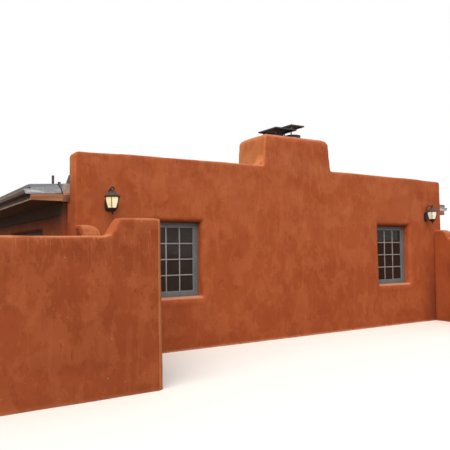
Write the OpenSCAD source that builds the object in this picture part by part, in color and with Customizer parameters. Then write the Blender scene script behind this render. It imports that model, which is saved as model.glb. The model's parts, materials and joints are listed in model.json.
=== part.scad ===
// Adobe house: earth walls with a parapet, horned garden walls, a chimney and a low roof with eaves.
// All sizes are in millimetres. Up is +Z and the front end wall faces -Y.

/* [House] */
// width of the end wall
house_w = 8241; // [6900:1:10400]
// depth from the front end wall to the back end wall
house_d = 9600; // [8000:10:12000]
// height of the parapet above the ridge of the roof
parapet_up = 222; // [120:1:400]
// thickness of the end walls
end_t = 300; // [280:10:400]
// thickness of the side walls
side_t = 360; // [300:10:440]
// how far the side walls stand out past the ends of the end walls
side_out = 95; // [40:1:120]
// top of the earth side walls, under the timber plate
side_h = 2149; // [2140:1:2560]
// how far the foot of the walls leans out
batter = 34; // [0:1:60]
// radius of the soft plastered edges
soft_r = 50; // [30:1:80]
// thickness of the floor
floor_t = 100; // [60:1:140]

/* [Chimney] */
// width of the chimney at its top
stack_w = 1495; // [1200:5:1800]
// height of the chimney above the parapet
stack_up = 595; // [400:5:900]
// depth of the chimney
stack_d = 850; // [700:10:1000]
// centre of the chimney along the end wall
stack_x = 28; // [-400:1:500]
// height of the flue collars above the stack
collar_h = 100; // [60:1:140]
// outer radius of the wider flue collar
collar_r = 150; // [130:1:160]

/* [Roof] */
// overhang of the eaves
eave = 585; // [300:5:800]
// height of the roof edge above the timber plate
eave_up = 223; // [200:1:300]
// fall of the roof, rise over run
pitch = 0.06; // [0.04:0.001:0.08]
// thickness of the roof boards and covering
deck_t = 60; // [40:1:90]
// depth of the roof beams
beam_d = 140; // [100:1:180]
// number of roof beams along each slope
beam_n = 13; // [9:1:17]
// width of a roof beam
beam_w = 70; // [50:1:100]
// width of the gutter
gutter_w = 106; // [90:1:150]
// depth of the gutter
gutter_h = 76; // [60:1:100]

/* [Windows] */
// width of a window frame
win_w = 905; // [700:5:1100]
// height of a window frame
win_h = 1205; // [900:5:1230]
// bottom of the window frames
win_z = 850; // [700:10:900]
// how far the frames stand back from the wall face
win_back = 142; // [100:1:180]
// width of the frame and of the sash members
member = 45; // [36:1:60]
// radius of the rounded plaster edge around a window
reveal_r = 75; // [30:1:85]

/* [Courtyard door] */
// width of the glazed door unit
door_w = 2500; // [2000:10:2800]
// distance of the door unit from the front face of the house
door_y = 1530; // [1200:10:2200]
// head of the door unit above the ground
door_top = 1975; // [1900:5:2050]
// width of a door leaf
leaf_w = 630; // [560:10:700]

/* [Lanterns] */
// width of the lantern roof
lamp_w = 235; // [180:1:300]
// centre of the lanterns in front of the wall
lamp_out = 175; // [150:1:200]

/* [Garden walls] */
// low top of the garden walls
yard_h = 1770; // [1500:10:1900]
// top of the horns of the garden walls
horn_h = 1972; // [1920:1:2200]
// thickness of the garden walls
yard_t = 245; // [200:5:300]
// radius of their plastered edges
yard_soft = 48; // [30:1:80]
// distance of the front legs in front of the house
yard_d = 2040; // [1600:10:2600]
// length of the front legs
yard_w = 3700; // [3000:10:4400]

/* [Hidden] */
$fn = 48;
e = 1;
xr = house_w / 2;
xl = -house_w / 2;
yf = -house_d / 2;
yb = house_d / 2;
xo = xr + side_out;
xi = xo - side_t;
xe = xr + eave;
xg = xe - 25;
frame_t = 70;
sash_t = 42;
glass_t = 8;
glass_w = win_w - 4 * member;
glass_h = win_h - 4 * member;
win_top = win_z + win_h;
plate_h = 200;
plate_top = side_h + plate_h;
eave_z = plate_top + eave_up;
parapet_h = ceil(roof_z(0) + parapet_up);
stack_h = parapet_h + stack_up;
board_t = 25;
rake_y = yf + end_t;
rake_back = yb - end_t;
flash_h = 137;
fold_h = 45;
sag = 38;
front_win = [xl + 1642.5, xr - 1522.5];
side_win_r = [-1900, 2000];
side_win_l = [2000];
stack_l = stack_x - stack_w / 2;
stack_r = stack_x + stack_w / 2;
stack_foot = 90;
stack_soft = 125;
stack_z = parapet_h - 170;
flue_l = [stack_x - 157.5, 405, collar_r - 30];
flue_r = [stack_x + 192.5, 372, collar_r];
cap_l = [stack_x - 392.5, stack_x + 102.5, 135, stack_d - 160, stack_h + 170];
cap_r = [stack_x + 22.5, stack_x + 342.5, 195, stack_d - 305, stack_h + 272];
door_y0 = yf + door_y;
door_y1 = door_y0 + door_w;
door_back = 150;
jamb = 60;
leaf_t = 44;
side_w = (door_w - 2 * jamb - 2 * jamb - 2 * leaf_w) / 2;
lamp_l = [xl + 488.5, yf, 2311];
lamp_r = [xr - 510, yf, 2285];
pier_w = 505;
lean = 14;
horn_run = 140;
leg_x = xl + 412;

function roof_z(x) = eave_z + pitch * (xe - abs(x));
function arc(cx, cy, r, a0, a1, n = 8) =
    [for (i = [0 : n]) [cx + r * cos(a0 + (a1 - a0) * i / n), cy + r * sin(a0 + (a1 - a0) * i / n)]];

function rake_z(x) = roof_z(x) - flash_h;

// an outline in X and Z drawn out along Y from y0 to y1
module along_y(y0, y1) {
    translate([0, y1, 0]) rotate([90, 0, 0]) linear_extrude(y1 - y0) children();
}

// an outline in Y and Z drawn out along X from x0 to x1
module along_x(x0, x1) {
    translate([x0, 0, 0]) rotate([90, 0, 90]) linear_extrude(x1 - x0) children();
}

module box(x0, x1, y0, y1, z0, z1) {
    translate([x0, y0, z0]) cube([x1 - x0, y1 - y0, z1 - z0]);
}

// the outline of an end wall, seen from the front, with a parapet that sinks towards its corners
module end_outline() {
    z = parapet_h - sag - soft_r;
    polygon(concat([[xl - batter, 0], [xr + batter, 0], [xr, side_h]],
        arc(xr - soft_r, z, soft_r, 0, 90),
        [[xr * 0.8, parapet_h - sag / 2], [xr * 0.36, parapet_h], [xl * 0.36, parapet_h],
        [xl * 0.8, parapet_h - sag / 2]],
        arc(xl + soft_r, z, soft_r, 90, 180), [[xl, side_h]]));
}

module end_section() {
    r = soft_r;
    polygon(concat([[yf, 0], [yf + end_t, 0]],
        arc(yf + end_t - r, parapet_h - r, r, 0, 90),
        arc(yf + r, parapet_h - r, r, 90, 180)));
}

module end_plan() {
    r = soft_r;
    polygon(concat([[xr + batter, yf + end_t], [xl - batter, yf + end_t]],
        arc(xl - batter + r, yf + r, r, 180, 270),
        arc(xr + batter - r, yf + r, r, 270, 360)));
}

// the opening for one window in a wall whose outer face is at y = 0 and whose inside is +Y
module window_cut(t) {
    r = reveal_r;
    hw = win_w / 2;
    intersection() {
        linear_extrude(4000) polygon(concat(
            [[-hw - r - 8, -300], [hw + r + 8, -300]],
            [for (i = [0 : 8]) [hw + 8 + r - r * sin(i * 90 / 8), r - r * cos(i * 90 / 8)]],
            [[hw, win_back], [hw, win_back + frame_t], [hw + 20, t + e], [-hw - 20, t + e],
            [-hw, win_back + frame_t], [-hw, win_back]],
            [for (i = [8 : -1 : 0]) [-hw - 8 - r + r * sin(i * 90 / 8), r - r * cos(i * 90 / 8)]]));
        along_x(-hw - 200, hw + 200) polygon(concat(
            [[-300, win_z - 52 - 10], [0, win_z - 52]],
            arc(30, win_z - 52 + 2, 30, 180, 100, 5),
            [[win_back, win_z], [t + e, win_z], [t + e, win_top], [win_back, win_top]],
            [for (i = [8 : -1 : 0]) [r - r * cos(i * 90 / 8), win_top + 4 + r - r * sin(i * 90 / 8)]],
            [[-300, win_top + 4 + r]]));
    }
}

// the soft sill that stands proud under one window
module window_lip() {
    hw = win_w / 2 + 10;
    translate([-hw, 22, win_z - 100]) rotate([0, 90, 0]) cylinder(r = 48, h = 2 * hw);
    translate([-hw, 22, win_z - 100]) sphere(r = 48);
    translate([hw, 22, win_z - 100]) sphere(r = 48);
}

module end_wall() {
    difference() {
        union() {
            intersection() {
                along_y(yf, yf + end_t) end_outline();
                along_x(xl - 200, xr + 200) end_section();
                linear_extrude(parapet_h + 10) end_plan();
            }
            for (x = front_win) translate([x, yf, 0]) window_lip();
        }
        for (x = front_win) translate([x, yf, 0]) window_cut(end_t);
    }
}

// the part of the chimney above the wall, with its right side leaning
module stack_solid() {
    r = stack_soft;
    intersection() {
        along_y(yf, yf + stack_d) polygon(concat(
            [[stack_l - 34, stack_z], [stack_r + stack_foot, stack_z], [stack_r + 34, parapet_h + 200]],
            arc(stack_r - r, stack_h - r, r, 10, 90), arc(stack_l + r, stack_h - r, r, 90, 178)));
        along_x(stack_l - 200, stack_r + 200) polygon(concat(
            [[yf, stack_z], [yf + stack_d, stack_z]],
            arc(yf + stack_d - r, stack_h - r, r, 0, 90), arc(yf + r, stack_h - r, r, 90, 180)));
    }
}

module beam_pocket() {
    box(-80, 80, yb - end_t, yb - end_t + 150, roof_z(0) - deck_t - 300, roof_z(80) - deck_t);
}

// two round flues that rise from the fireplace to the top of the chimney
module flues() {
    for (f = [flue_l, flue_r]) translate([f[0], yf + f[1], 900]) cylinder(r = f[2], h = 5000);
}

module front_wall() {
    color("chocolate") difference() {
        end_wall();
        stack_solid();
        flues();
    }
}

module back_wall() {
    color("chocolate") difference() {
        mirror([0, 1, 0]) end_wall();
        beam_pocket();
    }
}

module side_wall_blank() {
    along_y(yf + end_t, yb - end_t) polygon([[xi, 0], [xo + batter, 0], [xo, side_h], [xi, side_h]]);
    // plastered shoulders that close the ends of the roof edge beside the end walls
    for (y = [rake_y, rake_back - board_t]) along_y(y, y + board_t) polygon([[xr, side_h - 60],
        [xo, side_h - 60], [xo, roof_z(xo)], [xr, roof_z(xr)]]);
}

// moves a window at the origin to the right side wall, at y
module on_right(y) {
    translate([xo, y, 0]) rotate([0, 0, 90]) children();
}

module on_left(y) {
    translate([-xo, y, 0]) rotate([0, 0, -90]) children();
}

module right_wall() {
    color("chocolate") difference() {
        union() {
            side_wall_blank();
            for (y = side_win_r) on_right(y) window_lip();
        }
        for (y = side_win_r) on_right(y) window_cut(side_t);
    }
}

module door_cut() {
    r = reveal_r;
    linear_extrude(3000) polygon(concat(
        [[-xo - 300, door_y0 - r], [-xo, door_y0 - r]],
        [for (i = [0 : 8]) [r - xo - r * cos(i * 90 / 8), door_y0 - r + r * sin(i * 90 / 8)]],
        [[e - xi, door_y0], [e - xi, door_y1]],
        [for (i = [8 : -1 : 0]) [r - xo - r * cos(i * 90 / 8), door_y1 + r - r * sin(i * 90 / 8)]],
        [[-xo, door_y1 + r], [-xo - 300, door_y1 + r]]));
}

module left_wall() {
    color("chocolate") difference() {
        union() {
            mirror([1, 0, 0]) side_wall_blank();
            for (y = side_win_l) on_left(y) window_lip();
        }
        for (y = side_win_l) on_left(y) window_cut(side_t);
        intersection() {
            door_cut();
            box(-xo - 300, e - xi, yf, yb, floor_t, door_top);
        }
    }
}

// an arched fireplace in the room side of the chimney, over a raised hearth
module fireplace() {
    along_y(yf + end_t + 60, yf + stack_d + e) polygon(concat([[stack_x - 320, floor_t + 300],
        [stack_x + 360, floor_t + 300]], arc(stack_x + 20, floor_t + 700, 340, 0, 180, 12)));
}

// the hand of plaster where the left side of the chimney meets the parapet
module plaster_fillet() {
    x0 = stack_l - 30;
    along_y(yf + soft_r + 10, yf + end_t - soft_r - 20) polygon(concat([[x0 + 60, parapet_h]],
        arc(x0 - 160, parapet_h + 160, 160, -90, 0, 6), [[x0 + 60, parapet_h + 160]]));
}

module chimney() {
    color("chocolate") difference() {
        union() {
            stack_solid();
            box(stack_l - 34, stack_r + stack_foot, yf + end_t, yf + stack_d, floor_t, stack_z);
            plaster_fillet();
        }
        flues();
        fireplace();
        box(-80, 80, yf + stack_d - 100, yf + stack_d + e, roof_z(0) - deck_t - 300, roof_z(80) - deck_t);
    }
}

module flue_collars() {
    color("dimgray") for (f = [flue_l, flue_r]) translate([f[0], yf + f[1], stack_h - 300]) difference() {
        cylinder(r = f[2], h = collar_h + 300);
        translate([0, 0, -e]) cylinder(r = f[2] - 12, h = 4000);
    }
}

module rain_cap(c) {
    box(c[0], c[1], yf + c[2], yf + c[3], c[4], c[4] + 8);
    difference() {
        box(c[0], c[1], yf + c[2], yf + c[3], c[4] - 16, c[4]);
        box(c[0] + 5, c[1] - 5, yf + c[2] + 5, yf + c[3] - 5, c[4] - 17, c[4] + e);
    }
}

module rain_cap_left() {
    color("darkslategray") rain_cap(cap_l);
}

module rain_cap_right() {
    color("darkslategray") rain_cap(cap_r);
}

module cap_leg(x, y, z) {
    box(x - 14, x + 14, yf + y - 2.5, yf + y + 2.5, stack_h, z);
}

module cap_legs() {
    color("silver") {
        for (x = [cap_l[0] + 90, cap_l[1] - 40]) {
            for (y = [cap_l[2] + 115, cap_l[3] - 60]) cap_leg(x, y, cap_l[4]);
        }
        cap_leg(cap_l[1] + 22, cap_r[3] - 12, cap_r[4]);
        // short posts from the left plate to the right one
        for (y = [cap_r[2] + 35, cap_r[3] - 45]) {
            box(cap_l[1] - 54, cap_l[1] - 26, yf + y - 2.5, yf + y + 2.5, cap_l[4] + 8, cap_r[4]);
        }
    }
}

module floor() {
    color("tan") difference() {
        box(-xi, xi, yf + end_t, yb - end_t, 0, floor_t);
    }
}

module slope() {
    difference() {
        along_y(rake_y, rake_back) polygon([[0, roof_z(0) - deck_t],
            [xe, roof_z(xe) - deck_t], [xe, roof_z(xe)], [0, roof_z(0)]]);
        box(xr, xe + e, rake_y - e, rake_y + board_t, 2000, 4000);
        box(xr, xe + e, rake_back - board_t, rake_back + e, 2000, 4000);
    }
}

module stack_room() {
    box(stack_l - 34, stack_r + stack_foot, yf, yf + stack_d, 1000, 4000);
}

module roof_right() {
    color("lightgray") difference() {
        slope();
        stack_room();
        for (v = vents) if (v[0] > 0) translate([v[0], v[1], 0]) cylinder(r = v[2], h = 4000);
    }
}

// folded sheet over the edge of the roof covering, above the gutter
module drip_edge() {
    z = roof_z(xe);
    along_y(rake_y + board_t, rake_back - board_t) polygon([[xe - 70, roof_z(xe - 70)], [xe, z],
        [xe, z - deck_t + 14], [xe + 2, z - deck_t + 14], [xe + 2, z + 3],
        [xe - 70, roof_z(xe - 70) + 3]]);
}

module drip_edges() {
    color("lightslategray") {
        drip_edge();
        mirror([1, 0, 0]) drip_edge();
    }
}

module roof_left() {
    color("lightgray") difference() {
        mirror([1, 0, 0]) slope();
        stack_room();
        for (v = vents) if (v[0] < 0) translate([v[0], v[1], 0]) cylinder(r = v[2], h = 4000);
    }
}

module ridge_beam() {
    color("saddlebrown") along_y(yf + stack_d - 100, yb - end_t + 150) polygon([
        [-80, roof_z(0) - deck_t - 300], [80, roof_z(0) - deck_t - 300],
        [80, roof_z(80) - deck_t], [-80, roof_z(80) - deck_t]]);
}

// the side of one roof beam, from the ridge beam to the eave board
module beam_outline() {
    x = xg - board_t;
    polygon([[80, roof_z(80) - deck_t], [x, roof_z(x) - deck_t],
        [x, plate_top + 20], [xo - 20, plate_top + 20], [xo - 20, plate_top],
        [xo - 320, plate_top], [xo - 320, roof_z(xo - 320) - deck_t - beam_d],
        [80, roof_z(80) - deck_t - beam_d]]);
}

module roof_beams() {
    y0 = rake_y + board_t;
    y1 = rake_back - board_t - beam_w;
    color("saddlebrown") for (i = [0 : beam_n - 1]) for (s = [0, 1]) {
        y = y0 + (y1 - y0) * i / (beam_n - 1);
        difference() {
            mirror([s, 0, 0]) along_y(y, y + beam_w) beam_outline();
            stack_room();
            for (v = vents) translate([v[0], v[1], 0]) cylinder(r = v[2] + 15, h = 4000);
        }
    }
}

module wall_plates() {
    color("saddlebrown") {
        box(xo - 320, xo - 20, rake_y + board_t, rake_back - board_t, side_h, plate_top);
        box(20 - xo, 320 - xo, rake_y + board_t, rake_back - board_t, side_h, plate_top);
    }
}

module soffit_boards() {
    box(xo - 20, xg - board_t, rake_y + board_t, rake_back - board_t, plate_top, plate_top + 20);
}

module soffits() {
    color("sienna") {
        soffit_boards();
        mirror([1, 0, 0]) soffit_boards();
    }
}

module eave_board() {
    x = xg - board_t;
    along_y(rake_y + board_t, rake_back - board_t) polygon([[x, plate_top],
        [xg, plate_top], [xg, roof_z(xg) - deck_t], [x, roof_z(x) - deck_t]]);
}

module eave_boards() {
    color("peru") {
        eave_board();
        mirror([1, 0, 0]) eave_board();
    }
}

// the brown board under the roof edge, with a short cover board beside the end wall
module rake_board() {
    along_y(rake_y, rake_y + board_t) polygon([[xo, plate_top], [xg, plate_top], [xg, rake_z(xg)],
        [xo, rake_z(xo)]]);
    along_y(rake_y - 12, rake_y) polygon([[xr, plate_top - 9], [xo, plate_top - 9], [xo, rake_z(xo)],
        [xr, rake_z(xr)]]);
}

module rake_boards() {
    color("peru") for (m = [0, 1]) for (n = [0, 1]) {
        mirror([0, n, 0]) mirror([m, 0, 0]) rake_board();
    }
}

// folded sheet over the roof edge: a lower band, a bend and an upper band set back
module rake_flashing() {
    along_y(rake_y - 8, rake_y + board_t) polygon([[xo, rake_z(xo)], [xg, rake_z(xg)],
        [xg, roof_z(xg) - fold_h], [xo, roof_z(xo) - fold_h]]);
    along_y(rake_y, rake_y + board_t) polygon([[xo, roof_z(xo) - fold_h], [xe, roof_z(xe) - fold_h],
        [xe, roof_z(xe)], [xo, roof_z(xo)]]);
}

module rake_flashings() {
    color("lightslategray") for (m = [0, 1]) for (n = [0, 1]) {
        mirror([0, n, 0]) mirror([m, 0, 0]) rake_flashing();
    }
}

// the outline of the gutter, as wide as w, on the edge of the roof: flat back, flat bottom, swept front
module gutter_outline(t) {
    z1 = roof_z(xe) - deck_t;
    z0 = z1 - gutter_h;
    up = t > 0 ? e : 0;
    polygon(concat([[xg + t, z1 + up], [xg + t, z0 + t], [xg + gutter_w * 0.62 - t * 0.4, z0 + t]],
        arc(xg + gutter_w * 0.62, z0 + gutter_h * 0.5, gutter_w * 0.26 - t, -60, -5, 4),
        [[xg + gutter_w - t, z1 - gutter_h * 0.24 + t * 0.5], [xg + gutter_w - t, z1 + up]]));
}

module gutter() {
    z1 = roof_z(xe) - deck_t;
    difference() {
        union() {
            difference() {
                along_y(rake_y, rake_back) gutter_outline(0);
                along_y(rake_y + 3, rake_back - 3) gutter_outline(3);
            }
            // hangers across the top
            for (i = [0 : 10]) {
                y = rake_y + 180 + i * (rake_back - rake_y - 360) / 10;
                box(xg, xg + gutter_w - 2, y - 10, y + 10, z1 - 12, z1 - 8);
            }
        }
        translate([xg + 45, dp_y, 0]) cylinder(r = 30, h = 4000);
    }
}

module gutters() {
    color("slategray") {
        gutter();
        mirror([1, 0, 0]) gutter();
    }
}

// a downpipe that hangs from the gutter outlet and swings back to the side wall
dp_x = xo + batter + 45;
dp_y = rake_back - 300;
dp_run = (xg + 45 - dp_x) / sin(55);
dp_z = roof_z(xe) - deck_t - gutter_h - 100 - (xg + 45 - dp_x) / tan(55);

module downpipe() {
    z1 = roof_z(xe) - deck_t - gutter_h;
    y = dp_y;
    difference() {
        union() {
            translate([xg + 45, y, z1 - 100]) cylinder(r = 34, h = 100);
            translate([xg + 45, y, z1 - 100]) sphere(r = 36);
            translate([xg + 45, y, z1 - 100]) rotate([0, -125, 0]) cylinder(r = 34, h = dp_run);
            translate([dp_x, y, dp_z]) sphere(r = 36);
            translate([dp_x, y, 60]) cylinder(r = 34, h = dp_z - 60);
            for (z = [500, 1700]) box(xo, dp_x, y - 16, y + 16, z, z + 30);
        }
        translate([xg + 45, y, z1 - 100]) cylinder(r = 30, h = 101);
        translate([dp_x, y, 59]) cylinder(r = 30, h = dp_z - 59);
        along_y(y - 100, y + 100) polygon([[xo - 100, 0], [xo + batter, 0], [xo, side_h],
            [xo - 100, side_h]]);
    }
}

module downpipes() {
    color("slategray") {
        downpipe();
        mirror([1, 0, 0]) downpipe();
    }
}

// a ring of members as wide as m, with an outline of w by h
module ring(w, h, m, t) {
    difference() {
        box(-w / 2, w / 2, 0, t, 0, h);
        box(-w / 2 + m, w / 2 - m, -e, t + e, m, h - m);
    }
}

module win_frame() {
    translate([0, win_back, win_z]) ring(win_w, win_h, member, frame_t);
}

module win_sash() {
    translate([0, win_back + 14, win_z + member]) {
        ring(win_w - 2 * member, win_h - 2 * member, member, sash_t);
    }
}

module win_glass() {
    box(-glass_w / 2, glass_w / 2, win_back + 32, win_back + 32 + glass_t, win_z + 2 * member,
        win_top - 2 * member);
}

module on_front() {
    for (x = front_win) translate([x, yf, 0]) children();
}

module on_sides() {
    for (y = side_win_r) on_right(y) children();
    for (y = side_win_l) on_left(y) children();
}

module front_window_frames() {
    color("lightslategray") on_front() win_frame();
}

module front_window_sashes() {
    color("lightslategray") on_front() win_sash();
}

module front_window_glass() {
    color("darkslategray") on_front() win_glass();
}

module back_window_frames() {
    color("lightslategray") mirror([0, 1, 0]) on_front() win_frame();
}

module back_window_sashes() {
    color("lightslategray") mirror([0, 1, 0]) on_front() win_sash();
}

module back_window_glass() {
    color("darkslategray") mirror([0, 1, 0]) on_front() win_glass();
}

module side_window_frames() {
    color("lightslategray") on_sides() win_frame();
}

module side_window_sashes() {
    color("lightslategray") on_sides() win_sash();
}

module side_window_glass() {
    color("darkslategray") on_sides() win_glass();
}

// the courtyard door stands in the left side wall
dx = door_back - xo;
leaf_y0 = door_y0 + 2 * jamb + side_w;

module door_frame() {
    color("lightslategray") difference() {
        box(dx, dx + 90, door_y0, door_y1, floor_t, door_top);
        box(dx - e, dx + 91, door_y0 + jamb, door_y0 + jamb + side_w, floor_t + 30, door_top - jamb);
        box(dx - e, dx + 91, leaf_y0, leaf_y0 + 2 * leaf_w, floor_t + 30, door_top - jamb);
        box(dx - e, dx + 91, door_y1 - jamb - side_w, door_y1 - jamb, floor_t + 30, door_top - jamb);
    }
}

module panel(y0, y1, stile, foot) {
    difference() {
        box(dx + 20, dx + 20 + leaf_t, y0, y1, floor_t + 30, door_top - jamb);
        box(dx, dx + 100, y0 + stile, y1 - stile, floor_t + 30 + foot, door_top - jamb - stile);
    }
}

module pane(y0, y1, stile, foot) {
    box(dx + 38, dx + 38 + glass_t, y0 + stile, y1 - stile, floor_t + 30 + foot, door_top - jamb - stile);
}

module door_leaves() {
    color("lightslategray") for (i = [0, 1]) {
        panel(leaf_y0 + i * (leaf_w + 2), leaf_y0 + (i + 1) * leaf_w - 2 * (1 - i), 90, 230);
    }
}

module door_sidelights() {
    color("lightslategray") {
        panel(door_y0 + jamb, door_y0 + jamb + side_w, 60, 230);
        panel(door_y1 - jamb - side_w, door_y1 - jamb, 60, 230);
    }
}

module door_glass() {
    color("darkslategray") {
        pane(door_y0 + jamb, door_y0 + jamb + side_w, 60, 230);
        pane(door_y1 - jamb - side_w, door_y1 - jamb, 60, 230);
        for (i = [0, 1]) {
            pane(leaf_y0 + i * (leaf_w + 2), leaf_y0 + (i + 1) * leaf_w - 2 * (1 - i), 90, 230);
        }
    }
}

module door_handles() {
    color("dimgray") for (s = [-1, 1]) translate([dx + 20, leaf_y0 + leaf_w + s * 45, 1080]) {
        translate([-8, -16, -90]) cube([8, 32, 180]);
        translate([-48, 0, 0]) rotate([0, 90, 0]) cylinder(r = 8, h = 41);
        translate([-48, 0, 0]) sphere(r = 8);
        translate([-48, 0, 0]) rotate([s == 1 ? -90 : 90, 0, 0]) cylinder(r = 8, h = 95);
    }
}

// the lanterns are drawn with z = 0 at the middle of the glass
function glass_r(z) = lamp_w * (0.39 - 0.13 * pow((80 - z) / 160, 2));
lamp_rise = 212;

module on_axis() {
    translate([0, -lamp_out, 0]) children();
}

module lantern_metal() {
    r = lamp_w / 2;
    riser = 32;
    bend = (lamp_out - riser) / 2;
    bend_z = lamp_rise - bend;
    // back plate with round ends, and a raised boss
    translate([0, 0, -18]) rotate([90, 0, 0]) {
        linear_extrude(12) union() {
            square([112, 104], center = true);
            translate([0, 52]) circle(r = 56);
            translate([0, -52]) circle(r = 56);
        }
        linear_extrude(20) union() {
            square([76, 104], center = true);
            translate([0, 52]) circle(r = 38);
            translate([0, -52]) circle(r = 38);
        }
    }
    // gooseneck arm: a stub, a riser and a half ring down to the roof
    translate([0, 0, 30]) rotate([90, 0, 0]) cylinder(r = 8, h = riser);
    translate([0, -riser, 30]) sphere(r = 8);
    translate([0, -riser, 30]) cylinder(r = 8, h = bend_z - 30);
    translate([0, -riser - bend, bend_z]) rotate([0, 90, 0]) intersection() {
        rotate_extrude() translate([bend, 0]) circle(r = 8);
        translate([-200, -200, -20]) cube([200, 400, 40]);
    }
    // roof with a dark rim, neck and knob
    on_axis() rotate_extrude() polygon([[0, 80], [r * 0.94, 80], [r, 84], [r, 95], [r * 0.86, 101],
        [r * 0.42, 148], [r * 0.34, 152], [r * 0.34, 158], [r * 0.2, 164], [r * 0.2, 178], [0, 182]]);
    // six curved bars over the glass
    for (a = [4 : 60 : 304]) on_axis() rotate([0, 0, a - 4]) rotate_extrude(angle = 8) polygon(concat(
        [[glass_r(-80), -84]], [for (i = [0 : 6]) [glass_r(-80 + 160 * i / 6), -80 + 160 * i / 6]],
        [[glass_r(80), 85], [glass_r(80) + 7, 85]],
        [for (i = [6 : -1 : 0]) [glass_r(-80 + 160 * i / 6) + 7, -80 + 160 * i / 6]],
        [[glass_r(-80) + 7, -84]]));
    // bowl and pointed finial
    on_axis() rotate_extrude() polygon(concat([[0, -80], [r * 0.62, -80], [r * 0.66, -88]],
        arc(0, -88, r * 0.58, -10, -62, 5), [[r * 0.13, -146], [r * 0.18, -153], [r * 0.1, -162],
        [0.6, -181], [0, -181]]));
}

module lantern_glow() {
    on_axis() rotate_extrude() polygon(concat([[0, -80]],
        [for (i = [0 : 6]) [glass_r(-80 + 160 * i / 6), -80 + 160 * i / 6]], [[0, 80]]));
}

module lantern_left() {
    color("black") translate(lamp_l) lantern_metal();
}

module lantern_left_glass() {
    color("lightyellow") translate(lamp_l) lantern_glow();
}

module lantern_right() {
    color("black") translate(lamp_r) lantern_metal();
}

module lantern_right_glass() {
    color("lightyellow") translate(lamp_r) lantern_glow();
}

// vent pipes through the roof: place, radius and height above the roof
vents = [[xl + 800, yf + 4200, 38, 595], [xl + 643, yf + 3150, 30, 339]];

module vent_pipes() {
    color("dimgray") for (v = vents) translate([v[0], v[1], 0]) difference() {
        union() {
            translate([0, 0, roof_z(v[0]) - 200]) cylinder(r = v[2], h = v[3] + 200);
            translate([0, 0, roof_z(v[0]) + 8]) cylinder(r = v[2] + 12, h = 60);
        }
        translate([0, 0, 1000]) cylinder(r = v[2] - 4, h = 4000);
    }
}

// the section of a garden wall, h high
module yard_section(h) {
    r = yard_soft;
    polygon(concat([[-12, 0], [yard_t + 12, 0]],
        arc(yard_t - r, h - r, r, 0, 90, 6), arc(r, h - r, r, 90, 180, 6)));
}

// runs from the house forward, with a round shouldered horn where it meets the end wall
module yard_return(x0) {
    y0 = yf - yard_d + yard_t / 2;
    drop = horn_h - yard_h;
    along_y(y0, yf) translate([x0, 0]) yard_section(yard_h);
    intersection() {
        along_y(y0, yf) translate([x0, 0]) yard_section(horn_h);
        along_x(x0 - 100, x0 + yard_t + 100) polygon(concat([[yf, yard_h - 400], [yf, horn_h]],
            arc(yf - horn_run, horn_h - drop, drop, 90, 172, 8),
            arc(yf - horn_run - drop - 64, yard_h + 70, 66, 0, -86, 4),
            [[yf - horn_run - drop - 160, yard_h - 400]]));
    }
}

// runs along X in front, with a pier at the end where it meets the return
module yard_front(x0, x1) {
    y0 = yf - yard_d;
    y1 = y0 + yard_t;
    drop = horn_h - yard_h;
    xs = x1 - pier_w;
    r = 100;
    intersection() {
        union() {
            along_x(x0, x1) translate([y0, 0]) yard_section(yard_h);
            intersection() {
                along_x(x0, x1) translate([y0, 0]) yard_section(horn_h);
                along_y(y0 - 40, y1 + 40) polygon(concat([[x1, 0]],
                    arc(x1 - lean - yard_soft, horn_h - yard_soft, yard_soft, 4, 90, 6),
                    arc(xs + 10, horn_h - 45, 45, 90, 145, 4),
                    arc(xs - 168, yard_h + 42, 40, -35, -90, 4), [[x1 - 760, yard_h - 400]]));
            }
        }
        linear_extrude(3000) polygon(concat(
            arc(x0 + r, y1 + 12 - r, r, 90, 180, 6), arc(x0 + r, y0 - 12 + r, r, 180, 270, 6),
            arc(x1 - r, y0 - 12 + r, r, 270, 360, 6), arc(x1 - r, y1 + 12 - r, r, 0, 90, 6)));
    }
}

module garden_wall_left_return() {
    color("chocolate") difference() {
        yard_return(xl + 10);
        yard_front(leg_x - yard_w, leg_x);
    }
}

module garden_wall_left_front() {
    color("chocolate") yard_front(leg_x - yard_w, leg_x);
}

module garden_wall_right_return() {
    color("chocolate") mirror([1, 0, 0]) difference() {
        yard_return(xl + 10);
        yard_front(leg_x - yard_w, leg_x);
    }
}

module garden_wall_right_front() {
    color("chocolate") mirror([1, 0, 0]) yard_front(leg_x - yard_w, leg_x);
}

front_wall();
back_wall();
left_wall();
right_wall();
chimney();
flue_collars();
rain_cap_left();
rain_cap_right();
cap_legs();
floor();
roof_left();
roof_right();
drip_edges();
ridge_beam();
roof_beams();
wall_plates();
soffits();
eave_boards();
rake_boards();
rake_flashings();
gutters();
downpipes();
front_window_frames();
front_window_sashes();
front_window_glass();
back_window_frames();
back_window_sashes();
back_window_glass();
side_window_frames();
side_window_sashes();
side_window_glass();
door_frame();
door_leaves();
door_sidelights();
door_glass();
door_handles();
lantern_left();
lantern_left_glass();
lantern_right();
lantern_right_glass();
vent_pipes();
garden_wall_left_return();
garden_wall_left_front();
garden_wall_right_return();
garden_wall_right_front();
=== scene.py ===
# %% [markdown]
# # An adobe house, dressed over its construction model
#
# The house is a low building of earth walls under mud plaster: an end wall with a parapet and a
# leaning chimney, horned garden walls in front, a low roof with eaves, windows with glazing bars
# and two wall lanterns. The construction model gives each part its place and size. This lesson
# adds what a builder's eye looks for: soft plaster, bevelled joinery, folded sheet metal, and a
# finish for every surface.

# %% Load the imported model
import json
import math
import bpy
import bmesh
from mathutils import Matrix, Vector


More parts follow.
